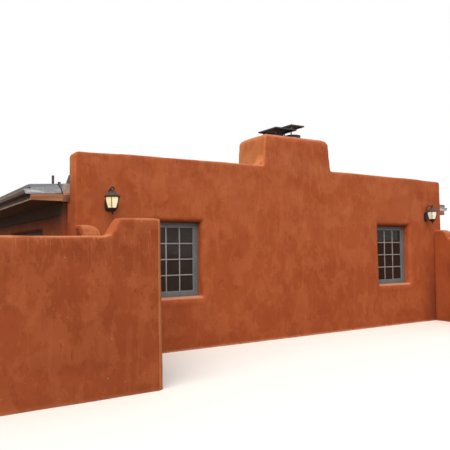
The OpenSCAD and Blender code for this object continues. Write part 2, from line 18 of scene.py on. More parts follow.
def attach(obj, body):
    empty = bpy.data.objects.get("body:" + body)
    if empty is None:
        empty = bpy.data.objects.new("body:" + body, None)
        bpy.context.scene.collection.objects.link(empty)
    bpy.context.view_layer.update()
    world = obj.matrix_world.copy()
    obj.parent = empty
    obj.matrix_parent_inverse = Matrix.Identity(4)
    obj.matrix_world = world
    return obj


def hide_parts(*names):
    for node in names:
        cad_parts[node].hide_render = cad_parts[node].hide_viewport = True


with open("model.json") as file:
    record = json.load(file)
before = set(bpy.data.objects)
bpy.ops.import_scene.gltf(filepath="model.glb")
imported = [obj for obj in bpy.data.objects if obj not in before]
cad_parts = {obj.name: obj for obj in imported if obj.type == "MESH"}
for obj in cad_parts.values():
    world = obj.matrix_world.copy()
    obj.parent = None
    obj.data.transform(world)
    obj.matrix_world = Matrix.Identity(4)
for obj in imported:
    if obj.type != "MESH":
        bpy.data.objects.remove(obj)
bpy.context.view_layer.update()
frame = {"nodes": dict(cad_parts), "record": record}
cad = frame["nodes"]

# %% [markdown]
# ## The camera
#
# The photograph was taken at eye level in front of the left garden wall, looking to the right
# and a little up, with the camera held about level. A camera can be placed by trying values until
# the edges line up, or by solving for the place and the lens from straight edges. The second way
# was used, and its result is written here as a place, three angles and a lens.

# %% Camera
eye = Vector((-6.5504, -12.6678, 1.602))
yaw, pitch, roll = (math.radians(a) for a in (32.289, 2.543, -0.699))
sensor, focal_px, photo_px = 36, 553.06, 450    # sensor width in mm, focal length and photo width in pixels
ahead = Vector((math.sin(yaw) * math.cos(pitch), math.cos(yaw) * math.cos(pitch), math.sin(pitch)))
level = Vector((math.cos(yaw), -math.sin(yaw), 0))
upward = level.cross(ahead)
right = level * math.cos(roll) + upward * math.sin(roll)
top = upward * math.cos(roll) - level * math.sin(roll)

camera = bpy.data.objects.new("camera", bpy.data.cameras.new("camera"))
bpy.context.scene.collection.objects.link(camera)
camera.data.sensor_width = sensor
camera.data.lens = sensor * focal_px / photo_px
camera.data.clip_end = 400
camera.matrix_world = Matrix((
    (right.x, top.x, -ahead.x, eye.x),
    (right.y, top.y, -ahead.y, eye.y),
    (right.z, top.z, -ahead.z, eye.z),
    (0, 0, 0, 1)))
bpy.context.scene.camera = camera
print("lens", round(camera.data.lens, 2), "mm")

# %% [markdown]
# ## Small helpers
#
# Three habits keep a script like this readable. Colours are written as the eye sees them and
# turned into linear light by one function. Shader nodes are all added by one function. And before
# each modelling step everything is deselected, because an operator acts on all that is selected.

# %% Helpers: colour, selecting and joining
def linear(code):
    """The linear colour of an sRGB hex code, opaque."""
    parts = [int(code[i:i + 2], 16) / 255 for i in (1, 3, 5)]
    return [c / 12.92 if c <= 0.04045 else ((c + 0.055) / 1.055) ** 2.4 for c in parts] + [1.0]


def clear():
    """Leaves edit mode and deselects everything."""
    if bpy.context.mode != "OBJECT":
        bpy.ops.object.mode_set(mode="OBJECT")
    bpy.ops.object.select_all(action="DESELECT")


def only(*things):
    """Selects these objects alone and makes the first one active."""
    clear()
    for thing in things:
        thing.select_set(True)
    bpy.context.view_layer.objects.active = things[0]
    return things[0]


def settle(*things):
    """Writes the place, turn and size of objects into their meshes."""
    only(*things)
    bpy.ops.object.transform_apply(location=True, rotation=True, scale=True)
    return things[0]


def joined(*things):
    """Makes one object of several."""
    only(*things)
    if len(things) > 1:
        bpy.ops.object.join()
    return things[0]


# %% Helpers: shaping a mesh
def shaped(thing, kind, **settings):
    """Adds a modifier with these settings to a mesh and applies it."""
    only(thing)
    added = thing.modifiers.new(kind.lower(), kind)
    for key, value in settings.items():
        setattr(added, key, value)
    bpy.ops.object.modifier_apply(modifier=added.name)
    return thing


def pick(thing, kind, test):
    """Opens a mesh for editing with only the parts that pass the test selected; kind is VERT, EDGE or FACE."""
    only(thing)
    bpy.ops.object.mode_set(mode="EDIT")
    bpy.ops.mesh.select_mode(type=kind)
    bpy.ops.mesh.select_all(action="DESELECT")
    mesh = bmesh.from_edit_mesh(thing.data)
    for part in {"VERT": mesh.verts, "EDGE": mesh.edges, "FACE": mesh.faces}[kind]:
        if test(part):
            part.select_set(True)
    mesh.select_flush_mode()
    bmesh.update_edit_mesh(thing.data)


def moved(thing, test, way):
    """Moves the vertices that pass the test."""
    pick(thing, "VERT", test)
    bpy.ops.transform.translate(value=way)
    bpy.ops.object.mode_set(mode="OBJECT")
    return thing


# %% Helpers: a finished piece
finish = {}    # the usual finish of each slot, made further down


def finish_piece(thing, name, slot, replaced=(), material=None, crease=35):
    """Names a piece, smooths it up to an angle, gives it a finish, hangs it under the root body and hides the
    construction parts it replaces.

    The finish is the usual one of its slot, unless it has a material of its own."""
    only(thing)
    bpy.ops.object.shade_smooth_by_angle(angle=math.radians(crease))
    thing.name = thing.data.name = name
    thing.data.materials.clear()
    thing.data.materials.append(material or finish[slot])
    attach(thing, "root")
    if replaced:
        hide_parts(*replaced)
    print(name, len(thing.data.polygons), "faces")
    return thing


# %% [markdown]
# ## Finishes in layers
#
# Every finish here is built the way a painter would: a base colour, then thin layers of other
# colours, each in patches of a known size. One noise pattern a layer is enough if its patch size is
# written in metres along X, Y and Z, because a patch that is longer one way is a streak, a drip or
# wood grain. A layer can be kept to a place: under a top, near the ground, on what faces up. The
# same patterns then raise the surface by a few tenths of a millimetre. Picture textures would be
# quicker to find, but they repeat, stretch and don't meet at corners.

# %% Shader helpers: nodes
def add(tree, kind, links=(), values=(), **settings):
    """Adds a node, sets its properties and input values, and links sockets to its inputs."""
    made = tree.nodes.new(kind)
    for key, value in settings.items():
        setattr(made, key, value)
    for socket, value in dict(values).items():
        made.inputs[socket].default_value = value
    for socket, source in dict(links).items():
        tree.links.new(source, made.inputs[socket])
    return made


def new_material(name, roughness, metallic, specular):
    """A material with a surface shader: the material, its tree, the shader and the Object coordinates."""
    made = bpy.data.materials.new(name)
    made.use_nodes = True
    tree = made.node_tree
    tree.nodes.clear()
    shader = add(tree, "ShaderNodeBsdfPrincipled", (), {"Roughness": roughness, "Metallic": metallic,
                                                       "Specular IOR Level": specular})
    add(tree, "ShaderNodeOutputMaterial", {"Surface": shader.outputs[0]})
    return made, tree, shader, add(tree, "ShaderNodeTexCoord").outputs["Object"]


# %% Shader helpers: layers
fall = 0.06    # of the roof, rise over run


def layered(tree, shader, place, base, layers):
    """Paints layers over a base colour and returns their patterns.

    A layer is (patch sizes in metres along X, Y, Z), detail, the noise value where it starts to show
    and the one where it is full, its share there, its colour, and limits that keep it to a place. A
    limit is a measure, with the values where the layer is gone and where it is whole, or, with True
    after them, with the middle and half the width of a band. The measures are height, out (from the
    middle of the house), rise (height over the fall of the roof), and how much the surface faces up
    or east."""
    axes = add(tree, "ShaderNodeSeparateXYZ", {"Vector": place}).outputs
    facing = add(tree, "ShaderNodeSeparateXYZ",
                 {"Vector": add(tree, "ShaderNodeNewGeometry").outputs["Normal"]}).outputs
    out = add(tree, "ShaderNodeMath", {0: axes["X"]}, operation="ABSOLUTE").outputs[0]
    rise = add(tree, "ShaderNodeMath", {0: out, 2: axes["Z"]}, {1: fall}, operation="MULTIPLY_ADD").outputs[0]
    measures = {"height": axes["Z"], "out": out, "rise": rise, "up": facing["Z"], "east": facing["X"]}
    colour, patterns = None, []
    for number, (sizes, detail, start, full, share, tint, limits) in enumerate(layers):
        if not share:
            patterns.append(None)
            continue
        spread = add(tree, "ShaderNodeMapping", {"Vector": place},
                     {"Scale": [1 / s for s in sizes], "Location": (3.1 * number, 1.7 * number, 5.3 * number)})
        noise = add(tree, "ShaderNodeTexNoise", {"Vector": spread.outputs[0]},
                    {"Scale": 1, "Detail": detail, "Roughness": 0.62, "Distortion": 0.25})
        part = add(tree, "ShaderNodeMapRange", {"Value": noise.outputs["Fac"]},
                   {"From Min": start, "From Max": full, "To Max": share})
        for measure, low, high, *band in limits:
            if band:
                limit = add(tree, "ShaderNodeMath", {0: measures[measure]}, {1: low, 2: high}, operation="COMPARE")
            else:
                limit = add(tree, "ShaderNodeMapRange", {"Value": measures[measure]},
                            {"From Min": low, "From Max": high})
            part = add(tree, "ShaderNodeMath", {0: part.outputs[0], 1: limit.outputs[0]}, operation="MULTIPLY")
        before = {"Color1": colour.outputs[0]} if colour else {}
        colour = add(tree, "ShaderNodeMixRGB", {"Fac": part.outputs[0]} | before,
                     {"Color1": linear(base), "Color2": linear(tint)})
        patterns.append(noise.outputs["Fac"])
    tree.links.new(colour.outputs[0], shader.inputs["Base Color"])
    return patterns


def coated(name, shine, base, layers, heights, **sockets):
    """A finish: shine is (roughness, metallic, specular level), heights are (layer number, depth in metres)."""
    made, tree, shader, place = new_material(name, *shine)
    patterns = layered(tree, shader, place, base, layers)
    total = None
    for number, depth in heights:
        below = {2: total.outputs[0]} if total else {}
        total = add(tree, "ShaderNodeMath", {0: patterns[number]} | below, {1: depth, 2: 0.0},
                    operation="MULTIPLY_ADD")
    bump = add(tree, "ShaderNodeBump", {"Height": total.outputs[0]}, {"Distance": 1.0, "Strength": 1.0})
    tree.links.new(bump.outputs[0], shader.inputs["Normal"])
    for socket, value in sockets.items():
        shader.inputs[socket.replace("_", " ")].default_value = value
    return made


# %% [markdown]
# ## Mud plaster
#
# Earth walls are finished with mud and straw, or with a cement plaster coloured and trowelled to
# look like it. It is quite matt. The orange clay has wide darker clouds, torn paler salmon patches
# where the trowel pressed, faint upright smears, and small dark upright scuffs. Rain draws fine
# pale drips under the tops. Tops and sills are bleached, and the last hand above the ground is dusty.
# Light and shade are painted in too: a painted highlight on the faces turned west, high on the house
# and all over the garden walls, painted shade low near the house's corners and under its eaves on the
# side walls, and a painted highlight on the garden walls' corners turned east.

# %% Mud plaster
def mud_plaster(name, wall_top, clay, light, dark, bleached, drips, house):
    """Trowelled mud plaster on a wall whose top is at wall_top metres.

    bleached is the colour of its tops, drips says how strong the rain's drips are, and house is 1 for
    the walls with a dusty foot, painted shade near the corners and under the eaves, and a painted
    highlight high on the west faces, and 0 for the garden walls, with a painted highlight on all their
    west faces and on their corners turned east."""
    up, low, west = ("up", 0.45, 0.9), ("height", 1.9, 0.7), ("east", -0.35, -0.9)
    return coated(name, (0.93, 0, 0.2), clay, (
        ((1.3, 1.3, 1.0), 3, 0.44, 0.62, 0.50, dark, ()),           # wide clouds
        ((0.30, 0.30, 0.36), 6, 0.54, 0.60, 0.32, dark, ()),        # darker blotches
        ((0.36, 0.36, 0.50), 6, 0.51, 0.56, 0.34, light, ()),       # torn pale patches
        ((0.14, 0.14, 0.20), 6, 0.56, 0.59, 0.27, light, ()),       # small torn patches
        ((0.10, 0.10, 0.80), 3, 0.56, 0.66, 0.24, light, ()),       # upright smears
        ((0.09, 0.09, 0.36), 4, 0.58, 0.64, 0.28, dark, ()),        # darker upright smears
        ((0.042, 0.042, 0.11), 2, 0.66, 0.71, 0.50, "#702A12", ()),     # short scuffs, 30 by 90 mm
        ((0.045, 0.045, 0.03), 2, 0.71, 0.76, 0.45, "#C98A66", ()),     # small bare spots
        ((0.017, 0.017, 0.34), 2, 0.60, 0.70, drips, "#CE9070",         # fine drips of rain
         [("height", wall_top - 0.42, wall_top - 0.04)]),
        ((0.012, 0.012, 0.012), 2, 0.42, 0.75, 0.12, light, ()),        # sand, drawn at 12 mm to show
        ((0.5, 0.5, 0.3), 4, 0.35, 0.65, 0.38, dark, [("height", 0.9, 0.1)]),    # rain splash above the ground
        ((0.1, 0.1, 0.02), 2, 0.25, 0.55, 0.25 + 0.5 * house, "#C79274", [("height", 0.045, 0.0)]),    # dust
        ((0.3, 0.3, 0.3), 3, 0.20, 0.60, 0.50, bleached, [up]),         # bleached tops
        ((0.3, 0.3, 0.3), 3, 0.10, 0.50, 0.28 * house, "#B89986", [up, low]),    # sills, still paler
        ((0.3, 0.3, 0.3), 3, 0.10, 0.50, 0.55 * (1 - house), "#C77F52",          # painted highlight on the garden walls' corners turned east
         [("east", 0.5, 0.32, True)]),
        ((0.8, 0.8, 0.5), 5, 0.40, 0.60, 0.19 * house, "#BB7550", [("height", 1.5, 2.7)]),    # dried out above
        ((0.5, 0.5, 0.5), 3, 0.20, 0.60, 0.62, "#CE8450" if house else "#AC532A",             # painted highlight on the faces turned west: above 2.4 m on the house, everywhere on the garden walls
         [("height", 2.4 * house, 2.8 * house + 0.1), west]),
        ((0.5, 0.5, 0.5), 3, 0.05, 0.35, 0.92 * house, "#5A2412", [("out", 3.35, 4.0), low]),    # painted shade low near the house's corners
        ((0.5, 0.5, 0.5), 3, 0.05, 0.35, 0.94 * house, "#20100B",       # painted shade under the eaves, on the side walls
         [("out", 4.135, 4.155), ("height", 1.6, 2.25)])),
        [(2, 0.006), (3, 0.0025), (4, 0.0012), (6, -0.0015), (9, 0.0006)])


house_plaster = mud_plaster("mud_plaster_trowelled", 3.08,
                            "#974A26", "#A95E38", "#853B1C", "#C4957A", drips=0.2, house=1)
garden_plaster = mud_plaster("mud_plaster_trowelled_garden_walls", 1.77,
                             "#8C4423", "#A15A36", "#773619", "#C68B60", drips=0.34, house=0)
print("plaster nodes:", len(house_plaster.node_tree.nodes))


# %% [markdown]
# ## Soft earth walls
#
# On the real house the plaster runs without a joint from the end wall up into the chimney. Its
# corners are rubbed round, its faces swell and dip by about a centimetre, and no edge is straight.
# The walls could be sculpted by hand. Here copies of the construction solids are joined, remeshed
# into even small faces as if cast in one go, relaxed a little, and pushed in and out by a slow noise.
# The foot is drawn down below the ground first and cut off level at the end, so that it stays sharp.
# A window opening is closed with a plug before the remesh and cut open after it, as a mason does
# with a wooden former, which leaves a crisp edge against the frame. The two walls nearest the camera
# are cast in finer faces than the others and thinned out afterwards, because they show the most.

# %% Soft earth walls: noises, copies and blocks
hills = bpy.data.textures.new("plaster_hills", "CLOUDS")
hills.noise_scale = 0.55
hills.noise_depth = 1
dents = bpy.data.textures.new("plaster_dents", "CLOUDS")
dents.noise_scale = 0.16
dents.noise_depth = 1


def copy_of(*nodes):
    """One object with the merged meshes of these construction nodes."""
    clear()
    made = []
    for n in nodes:
        thing = bpy.data.objects.new("copy_of_" + n, cad[n].data.copy())
        bpy.context.scene.collection.objects.link(thing)
        made.append(thing)
    thing = joined(*made)
    bpy.ops.object.mode_set(mode="EDIT")
    bpy.ops.mesh.select_all(action="SELECT")
    bpy.ops.mesh.remove_doubles(threshold=0.00005)
    bpy.ops.object.mode_set(mode="OBJECT")
    return thing


def block(one, other, sx=1, sy=1):
    """A box between two opposite corners, with its place in its mesh; a sign of -1 mirrors that place."""
    spans = [(sx * one[0], sx * other[0]), (sy * one[1], sy * other[1]), (one[2], other[2])]
    clear()
    bpy.ops.mesh.primitive_cube_add(size=1, location=[(a + b) / 2 for a, b in spans],
                                    scale=[abs(b - a) for a, b in spans])
    return settle(bpy.context.object)


def placed(model, spots):
    """Copies a shape made at the origin to each (x, y, turn in degrees) and joins the copies."""
    made = []
    for x, y, turn in spots:
        other = model.copy()
        other.data = model.data.copy()
        bpy.context.scene.collection.objects.link(other)
        other.location = (x, y, 0)
        other.rotation_euler.z = math.radians(turn)
        made.append(other)
    bpy.data.objects.remove(model)
    settle(*made)
    return joined(*made)


# %% Soft earth walls: cutting and casting
def subtract(thing, tool, overlapping=True):
    """Cuts a tool's form out of a thing; overlapping says that the thing may be several solids in each other."""
    shaped(thing, "BOOLEAN", operation="DIFFERENCE", use_self=overlapping, object=tool)
    bpy.data.objects.remove(tool)
    return thing


def soft_wall(wall, name, nodes, material, cell, plugs=(), former=None, keep=1.0):
    """Casts a wall, which takes the place of construction nodes, in faces about cell metres wide.

    keep is the share of those faces that stays."""
    moved(wall, lambda v: v.co.z < 0.0005, (0, 0, -0.15))
    joined(wall, *plugs)
    shaped(wall, "REMESH", mode="VOXEL", voxel_size=cell)
    shaped(wall, "SMOOTH", factor=0.5, iterations=2)
    for texture, strength in ((hills, 0.016), (dents, 0.005)):
        shaped(wall, "DISPLACE", texture=texture, texture_coords="LOCAL", strength=strength, mid_level=0.4)
    if former:
        subtract(wall, former, overlapping=False)
    if keep < 1:    # fewer faces where the wall is flat, and as many as before round its corners
        shaped(wall, "DECIMATE", ratio=keep)
    pick(wall, "FACE", lambda f: True)
    bpy.ops.mesh.bisect(plane_co=(0, 0, 0), plane_no=(0, 0, 1), use_fill=True, clear_inner=True)
    bpy.ops.object.mode_set(mode="OBJECT")
    return finish_piece(wall, name, "adobe", nodes, material, crease=50)


# %% [markdown]
# ### The house walls
#
# The window frames stand 142 mm back from the wall's face. Each plug is a thin slab there, and each
# former is a box as large as the frame that reaches from before its front to the room. The soft
# sills, 26 mm proud in the construction model, are pressed back to about 6 mm. The corner between an
# end wall and a side wall is only a thin plate there, too thin for the remesh, so it is filled out
# behind.

# %% Soft earth walls: the house
face_y, edge_y = 4.8, 4.5    # faces of the end walls, and ends of the side walls and gutters
xr, xo, xg, xe = 4.1205, 4.2155, 4.6805, 4.7055    # end of end wall, side wall, eave board, roof edge
win_x, win_low, win_top = 0.4525, 0.85, 2.055    # half a window frame's width, its bottom and its top
front = [(-2.478, -face_y, 0), (2.598, -face_y, 0)]    # x, y and turn of the windows in each wall
back = [(-2.478, face_y, 180), (2.598, face_y, 180)]
right_side = [(xo, -1.9, 90), (xo, 2.0, 90)]
left_side = [(-xo, 2.0, -90)]


def plug(spots):
    """The slabs that close window openings while a wall is cast."""
    return placed(block((-0.47, 0.146, win_low - 0.02), (0.47, 0.206, win_top + 0.02)), spots)


def former(spots):
    """The boxes, as large as the frames, that cut the openings out of the cast wall."""
    return placed(block((-win_x, 0.09, win_low), (win_x, 0.5, win_top)), spots)


def shoulder(side, end):
    """The plaster that closes the corner between an end wall and a side wall, under the roof edge."""
    return block((xr - 0.04, edge_y, 1.2), (xo + 0.004, edge_y - 0.1, 2.42), side, end)


def press_sills(wall, y):
    """Presses the sills, which stand proud of the face at y, back to a quarter of that."""
    pick(wall, "VERT", lambda v: abs(v.co.y) > face_y + 0.003 and v.co.z < win_low)
    bpy.ops.transform.resize(value=(1, 0.25, 1), center_override=(0, y, 0))
    bpy.ops.object.mode_set(mode="OBJECT")


wall = copy_of("front_wall", "chimney")
moved(wall, lambda v: v.co.z > 2.9, (0, 0, 0.012))     # the parapet, 12 mm up
moved(wall, lambda v: v.co.z > 3.2, (0.013, 0, 0))     # the chimney's top, 13 mm to the right
press_sills(wall, -face_y)
soft_wall(wall, "end_wall_and_chimney", ["front_wall", "chimney"], house_plaster, 0.021,
          [plug(front)], former(front), keep=0.6)
wall = copy_of("back_wall")
press_sills(wall, face_y)
soft_wall(wall, "rear_end_wall", ["back_wall"], house_plaster, 0.034, [plug(back)], former(back))
soft_wall(copy_of("left_wall"), "left_side_wall", ["left_wall"], house_plaster, 0.034,
          [plug(left_side), block((-4.06, -3.29, 0.08), (-3.99, -0.75, 1.995)), shoulder(-1, -1), shoulder(-1, 1)],
          joined(former(left_side), block((-4.12, -3.27, 0.1), (-3.7, -0.77, 1.975))))
soft_wall(copy_of("right_wall"), "right_side_wall", ["right_wall"], house_plaster, 0.034,
          [plug(right_side), shoulder(1, -1), shoulder(1, 1)], former(right_side))

# %% [markdown]
# ### The garden walls
#
# They are thinner, with a round shouldered horn against the house and a stepped pier at the free
# end, so they are cast with smaller faces. The left horn is carved before it is cast: rain has
# hollowed it under its left edge, which takes an egg-shaped tool and leaves a thin lip, and its
# right shoulder is a quarter round of 130 mm, which takes a block with a cylinder cut out of it.

# %% Soft earth walls: the garden
round_x, round_z, round_r = -3.996, 1.842, 0.13
clear()
bpy.ops.mesh.primitive_cylinder_add(vertices=48, radius=round_r, depth=1, location=(round_x, -5.1, round_z),
                                    rotation=(math.radians(90), 0, 0))
cylinder = settle(bpy.context.object)
corner_tool = subtract(block((round_x, -5.45, round_z), (-3.80, -4.79, 2.05)), cylinder)
clear()
bpy.ops.mesh.primitive_uv_sphere_add(segments=32, ring_count=16, radius=0.1, location=(-4.14, -face_y, 1.6),
                                     scale=(1.05, 3.8, 3.1))
egg_tool = settle(bpy.context.object)

nodes = ["garden_wall_left_return", "garden_wall_left_front"]
wall = copy_of(*nodes)
moved(wall, lambda v: v.co.z > 1.2 and v.co.x > -3.83 and v.co.y < -6.4, (-0.018, 0, 0))    # the pier's lean
subtract(wall, joined(corner_tool, egg_tool))
lip = block((-4.135, -4.97, 1.922), (-3.99, -4.79, 1.976))
soft_wall(wall, "left_garden_wall", nodes, garden_plaster, 0.0165, [lip], keep=0.6)
nodes = ["garden_wall_right_return", "garden_wall_right_front"]
soft_wall(copy_of(*nodes), "right_garden_wall", nodes, garden_plaster, 0.026)

# %% [markdown]
# ## Timber, metal, paint and glass
#
# The other finishes follow the same recipe. Wood has grain a few millimetres wide that runs a metre
# or more along the board. The zinc on galvanised steel has crystals as large as a thumb nail under
# white streaks of oxide. Baked and brushed paints are smooth, with dust and runs. The shader's own
# sockets say how shiny and how metallic each is.

# %% Timber finishes
board_low = 2.349    # the lower edge of the boards at the eaves


def stained_wood(name, along, pale, stain, dark, roughness, pale_band=()):
    """Stained softwood with its grain along one axis (0, 1 or 2): grain lines 8 mm wide and 1.2 m long.

    The last argument holds the limits of a band that is made paler."""
    grain, board, knots, pores = ([size] * 3 for size in (0.008, 0.11, 0.03, 0.0032))
    grain[along], board[along], knots[along], pores[along] = 1.2, 2.5, 0.14, 0.48
    return coated(name, (roughness, 0, 0.28), stain, (
        (grain, 4, 0.42, 0.62, 0.75, pale, ()),       # pale early wood
        (board, 1, 0.44, 0.60, 0.40, dark, ()),       # each board takes the stain its own way
        (knots, 2, 0.66, 0.74, 0.70, dark, ()),
        (pores, 2, 0.55, 0.72, 0.55, dark, ()),
        ((0.3, 0.3, 0.3), 3, 0.1, 0.5, 0.8 if pale_band else 0, "#A5947F", pale_band)),
        [(0, 0.0012), (3, -0.0008)])


finish["timber"] = stained_wood("pine_sawn_and_stained", 1, "#5E3F2B", "#452C1E", "#291A13", 0.75)
finish["stained_board"] = stained_wood("fir_planed_and_stained", 1, "#84593F", "#6E4932", "#4E3122", 0.6)
across_wood = stained_wood("fir_planed_and_stained_across", 0, "#AC7E61", "#926447", "#6C442F", 0.55)
rafter_wood = stained_wood("pine_sawn_and_stained_across", 0, "#5E3F2B", "#452C1E", "#291A13", 0.75)
# a darker copy of the sawn pine: painted shade under the eave, on the wall plates
plate_wood = stained_wood("pine_sawn_with_painted_shade", 1, "#4C352C", "#3D2921", "#291A14", 0.9)
# a darker copy of the planed fir: painted shade from the gutter, on the eave boards
eave_wood = stained_wood("fir_planed_stained_with_painted_shade", 1, "#503829", "#3D291E", "#261912", 0.7,
                         [("height", board_low + 0.012, 0.012, True)])    # the lower 24 mm
print("woods:", [m.name for m in (*finish.values(), across_wood, rafter_wood, plate_wood, eave_wood)])

# %% Metal finishes
# hot-dip galvanised steel, weathered dull: crystals 20 mm wide, white oxide in runs on the lower
# 90 mm of the rake flashing, and a darker fold of 45 mm along its top, which follows the roof's fall
finish["flashing"] = coated("galvanised_steel_weathered", (0.5, 0.6, 0.5), "#8A9097", (
    ((0.02, 0.02, 0.02), 1, 0.42, 0.60, 0.30, "#A3A9B0", ()),
    ((0.35, 0.35, 0.06), 5, 0.44, 0.54, 0.72, "#DCE0E3", [("rise", 2.79, 2.75)]),
    ((0.05, 0.05, 0.30), 4, 0.56, 0.70, 0.45, "#C9CBCC", ()),
    ((0.25, 0.25, 0.12), 5, 0.55, 0.70, 0.50, "#6A6460", ()),
    ((0.40, 0.40, 0.40), 3, 0.20, 0.50, 0.80, "#5D646D", [("rise", 2.806, 2.812)])),
    [(0, 0.0002), (1, 0.0006)])

# steel gutter with baked brown enamel: glossy under dust and rain runs, and with painted reflections:
# a pale line under the bead and one at the bottom bend
finish["gutter_paint"] = coated("steel_baked_enamel_brown", (0.4, 0, 0.3), "#3B322B", (
    ((0.35, 0.35, 0.05), 5, 0.46, 0.66, 0.38, "#655C4F", ()),
    ((0.03, 0.03, 0.30), 4, 0.55, 0.70, 0.50, "#2A231F", ()),
    ((0.012, 0.012, 0.012), 2, 0.70, 0.76, 0.80, "#A5A19A", ()),
    # painted reflections: pale lines under the bead and at the bottom bend
    ((0.30, 0.30, 0.30), 3, 0.10, 0.50, 0.75, "#8B8574", [("height", 2.492, 0.009, True)]),
    ((0.30, 0.30, 0.30), 3, 0.10, 0.50, 0.65, "#847868", [("height", 2.455, 0.006, True)])),
    [(0, 0.0004), (2, -0.0002)])

# mild steel under old black paint: matt, rusting through in flakes 20 to 60 mm wide
finish["dark_steel"] = coated("mild_steel_black_paint_rusting", (0.62, 0, 0.5), "#2C2630", (
    ((0.12, 0.12, 0.12), 6, 0.52, 0.62, 0.55, "#4A2F28", ()),
    ((0.04, 0.04, 0.04), 5, 0.60, 0.68, 0.60, "#6B3E2A", ()),
    ((0.01, 0.01, 0.01), 2, 0.52, 0.75, 0.40, "#17131A", ())),
    [(0, 0.0006), (2, 0.0003)])

# flat bar, zinc plated: most of it gone dark, with bright patches that are painted glints
finish["bright_steel"] = coated("steel_flat_bar_zinc_plated", (0.55, 0.3, 0.3), "#3E3938", (
    ((0.09, 0.2, 0.08), 3, 0.56, 0.62, 0.9, "#B9BBBE", ()),), [(0, 0.0003)])

# cast aluminium lantern bodies, powder coated dark bronze, with green-grey dust on what looks up
finish["lantern_metal"] = coated("cast_aluminium_bronze_powder_coat", (0.5, 0, 0.3), "#2A1E17", (
    ((0.04, 0.04, 0.04), 4, 0.50, 0.66, 0.40, "#382A22", ()),
    ((0.05, 0.05, 0.05), 4, 0.10, 0.45, 0.70, "#4A4A41", [("up", 0.15, 0.7)]),
    ((0.004, 0.004, 0.004), 2, 0.45, 0.70, 0.25, "#4A4038", ())),
    [(0, 0.0004), (2, 0.0001)])
print("metals:", [finish[s].name for s in ("flashing", "gutter_paint", "dark_steel", "bright_steel", "lantern_metal")])

# %% Paint
def oil_paint(name, paint, chalky, marks, roughness=0.5):
    """Window and door joinery: oil paint brushed on wood, gone chalky, with brush marks 3 mm apart."""
    return coated(name, (roughness, 0, 0.35), paint, (
        ((0.12, 0.12, 0.3), 5, 0.46, 0.66, 0.55, chalky, ()),
        ((0.003, 0.003, 0.12), 3, 0.45, 0.65, 0.30, marks, ()),
        ((0.012, 0.012, 0.02), 3, 0.68, 0.76, 0.40, "#9A9A96", ())),    # small knocks
        [(1, 0.0004), (2, -0.0003)])


finish["window_paint"] = oil_paint("oil_paint_blue_grey", "#5F676D", "#70767A", "#525A61")
frame_paint = oil_paint("oil_paint_blue_grey_in_the_rain", "#605F5D", "#716E6B", "#52504E")    # browner
# a paler grey than the sashes: painted highlight for the light the glazing bars catch
bar_paint = oil_paint("oil_paint_with_painted_highlight_on_glazing_bars", "#8C8A89", "#777778", "#9F9C99", 0.6)
# a near-black paint: painted shade under the eave, on the courtyard door
door_paint = oil_paint("oil_paint_with_painted_shade_on_door", "#211F1A", "#2C2923", "#1A1815", 0.7)
print("paints:", [m.name for m in (finish["window_paint"], frame_paint, bar_paint, door_paint)])


# %% Glass
def sheet_glass(name, roughness, specular):
    """Drawn sheet glass: a little wavy, dark because the room behind is dark, and dull where it is dusty."""
    return coated(name, (roughness, 0, specular), "#2B2320", (
        ((0.25, 0.25, 0.12), 2, 0.4, 0.7, 0.4, "#332C29", ()),
        ((0.1, 0.1, 0.05), 5, 0.58, 0.75, 0.3, "#5A534C", ())),
        [(0, 0.0012)], Alpha=0.8)


finish["window_glass"] = sheet_glass("drawn_sheet_glass", 0.04, 0.28)
porch_glass = sheet_glass("drawn_sheet_glass_dusty", 0.3, 0.02)    # under the eave, where no rain rinses it


def frosted_glass(name, glass, warm, glow):
    """Lantern panes: frosted seeded glass lit from inside, with painted shade on the panes that face west."""
    return coated(name, (0.35, 0, 0.5), glass, (
        ((0.012, 0.012, 0.02), 3, 0.40, 0.70, 0.35, warm, ()),
        ((0.07, 0.07, 0.09), 2, 0.40, 0.65, 0.45, warm, ()),
        # painted shade on the panes that face west
        ((0.07, 0.07, 0.09), 2, 0.05, 0.40, 0.55, "#A8946A", [("east", -0.2, -0.5)])),
        [(0, 0.0004)], Emission_Color=linear(warm), Emission_Strength=glow)


finish["lantern_glass"] = frosted_glass("frosted_glass_warm", "#F4EACB", "#F3DFA9", 0.34)
pale_glass = frosted_glass("frosted_glass_pale", "#ECEAE1", "#F1EDE0", 0.26)
print("glass:", [m.name for m in (finish["window_glass"], porch_glass, finish["lantern_glass"], pale_glass)])

# %% Felt, concrete and patching plaster
# mineral-surfaced roofing felt: grey granules of 1 mm drawn at 6 mm, with washed-in dust
finish["roofing"] = coated("mineral_felt_grey", (0.95, 0, 0.15), "#8C8A86", (
    ((0.006, 0.006, 0.006), 2, 0.40, 0.62, 0.60, "#A8A6A1", ()),
    ((0.8, 0.5, 0.8), 5, 0.46, 0.64, 0.45, "#77716A", ()),
    ((0.3, 0.09, 0.3), 5, 0.54, 0.70, 0.50, "#A08873", ())),
    [(0, 0.0012), (1, 0.004)])

# steel-trowelled concrete floor, sealed: soft clouds and trowel arcs
finish["concrete"] = coated("concrete_trowelled_sealed", (0.45, 0, 0.5), "#8B8378", (
    ((0.9, 0.9, 0.9), 5, 0.42, 0.62, 0.55, "#776E63", ()),
    ((0.25, 0.05, 0.2), 4, 0.50, 0.66, 0.40, "#9C9488", ()),
    ((0.008, 0.008, 0.008), 2, 0.45, 0.70, 0.25, "#655D54", ())),
    [(1, 0.0012), (2, 0.0004)])

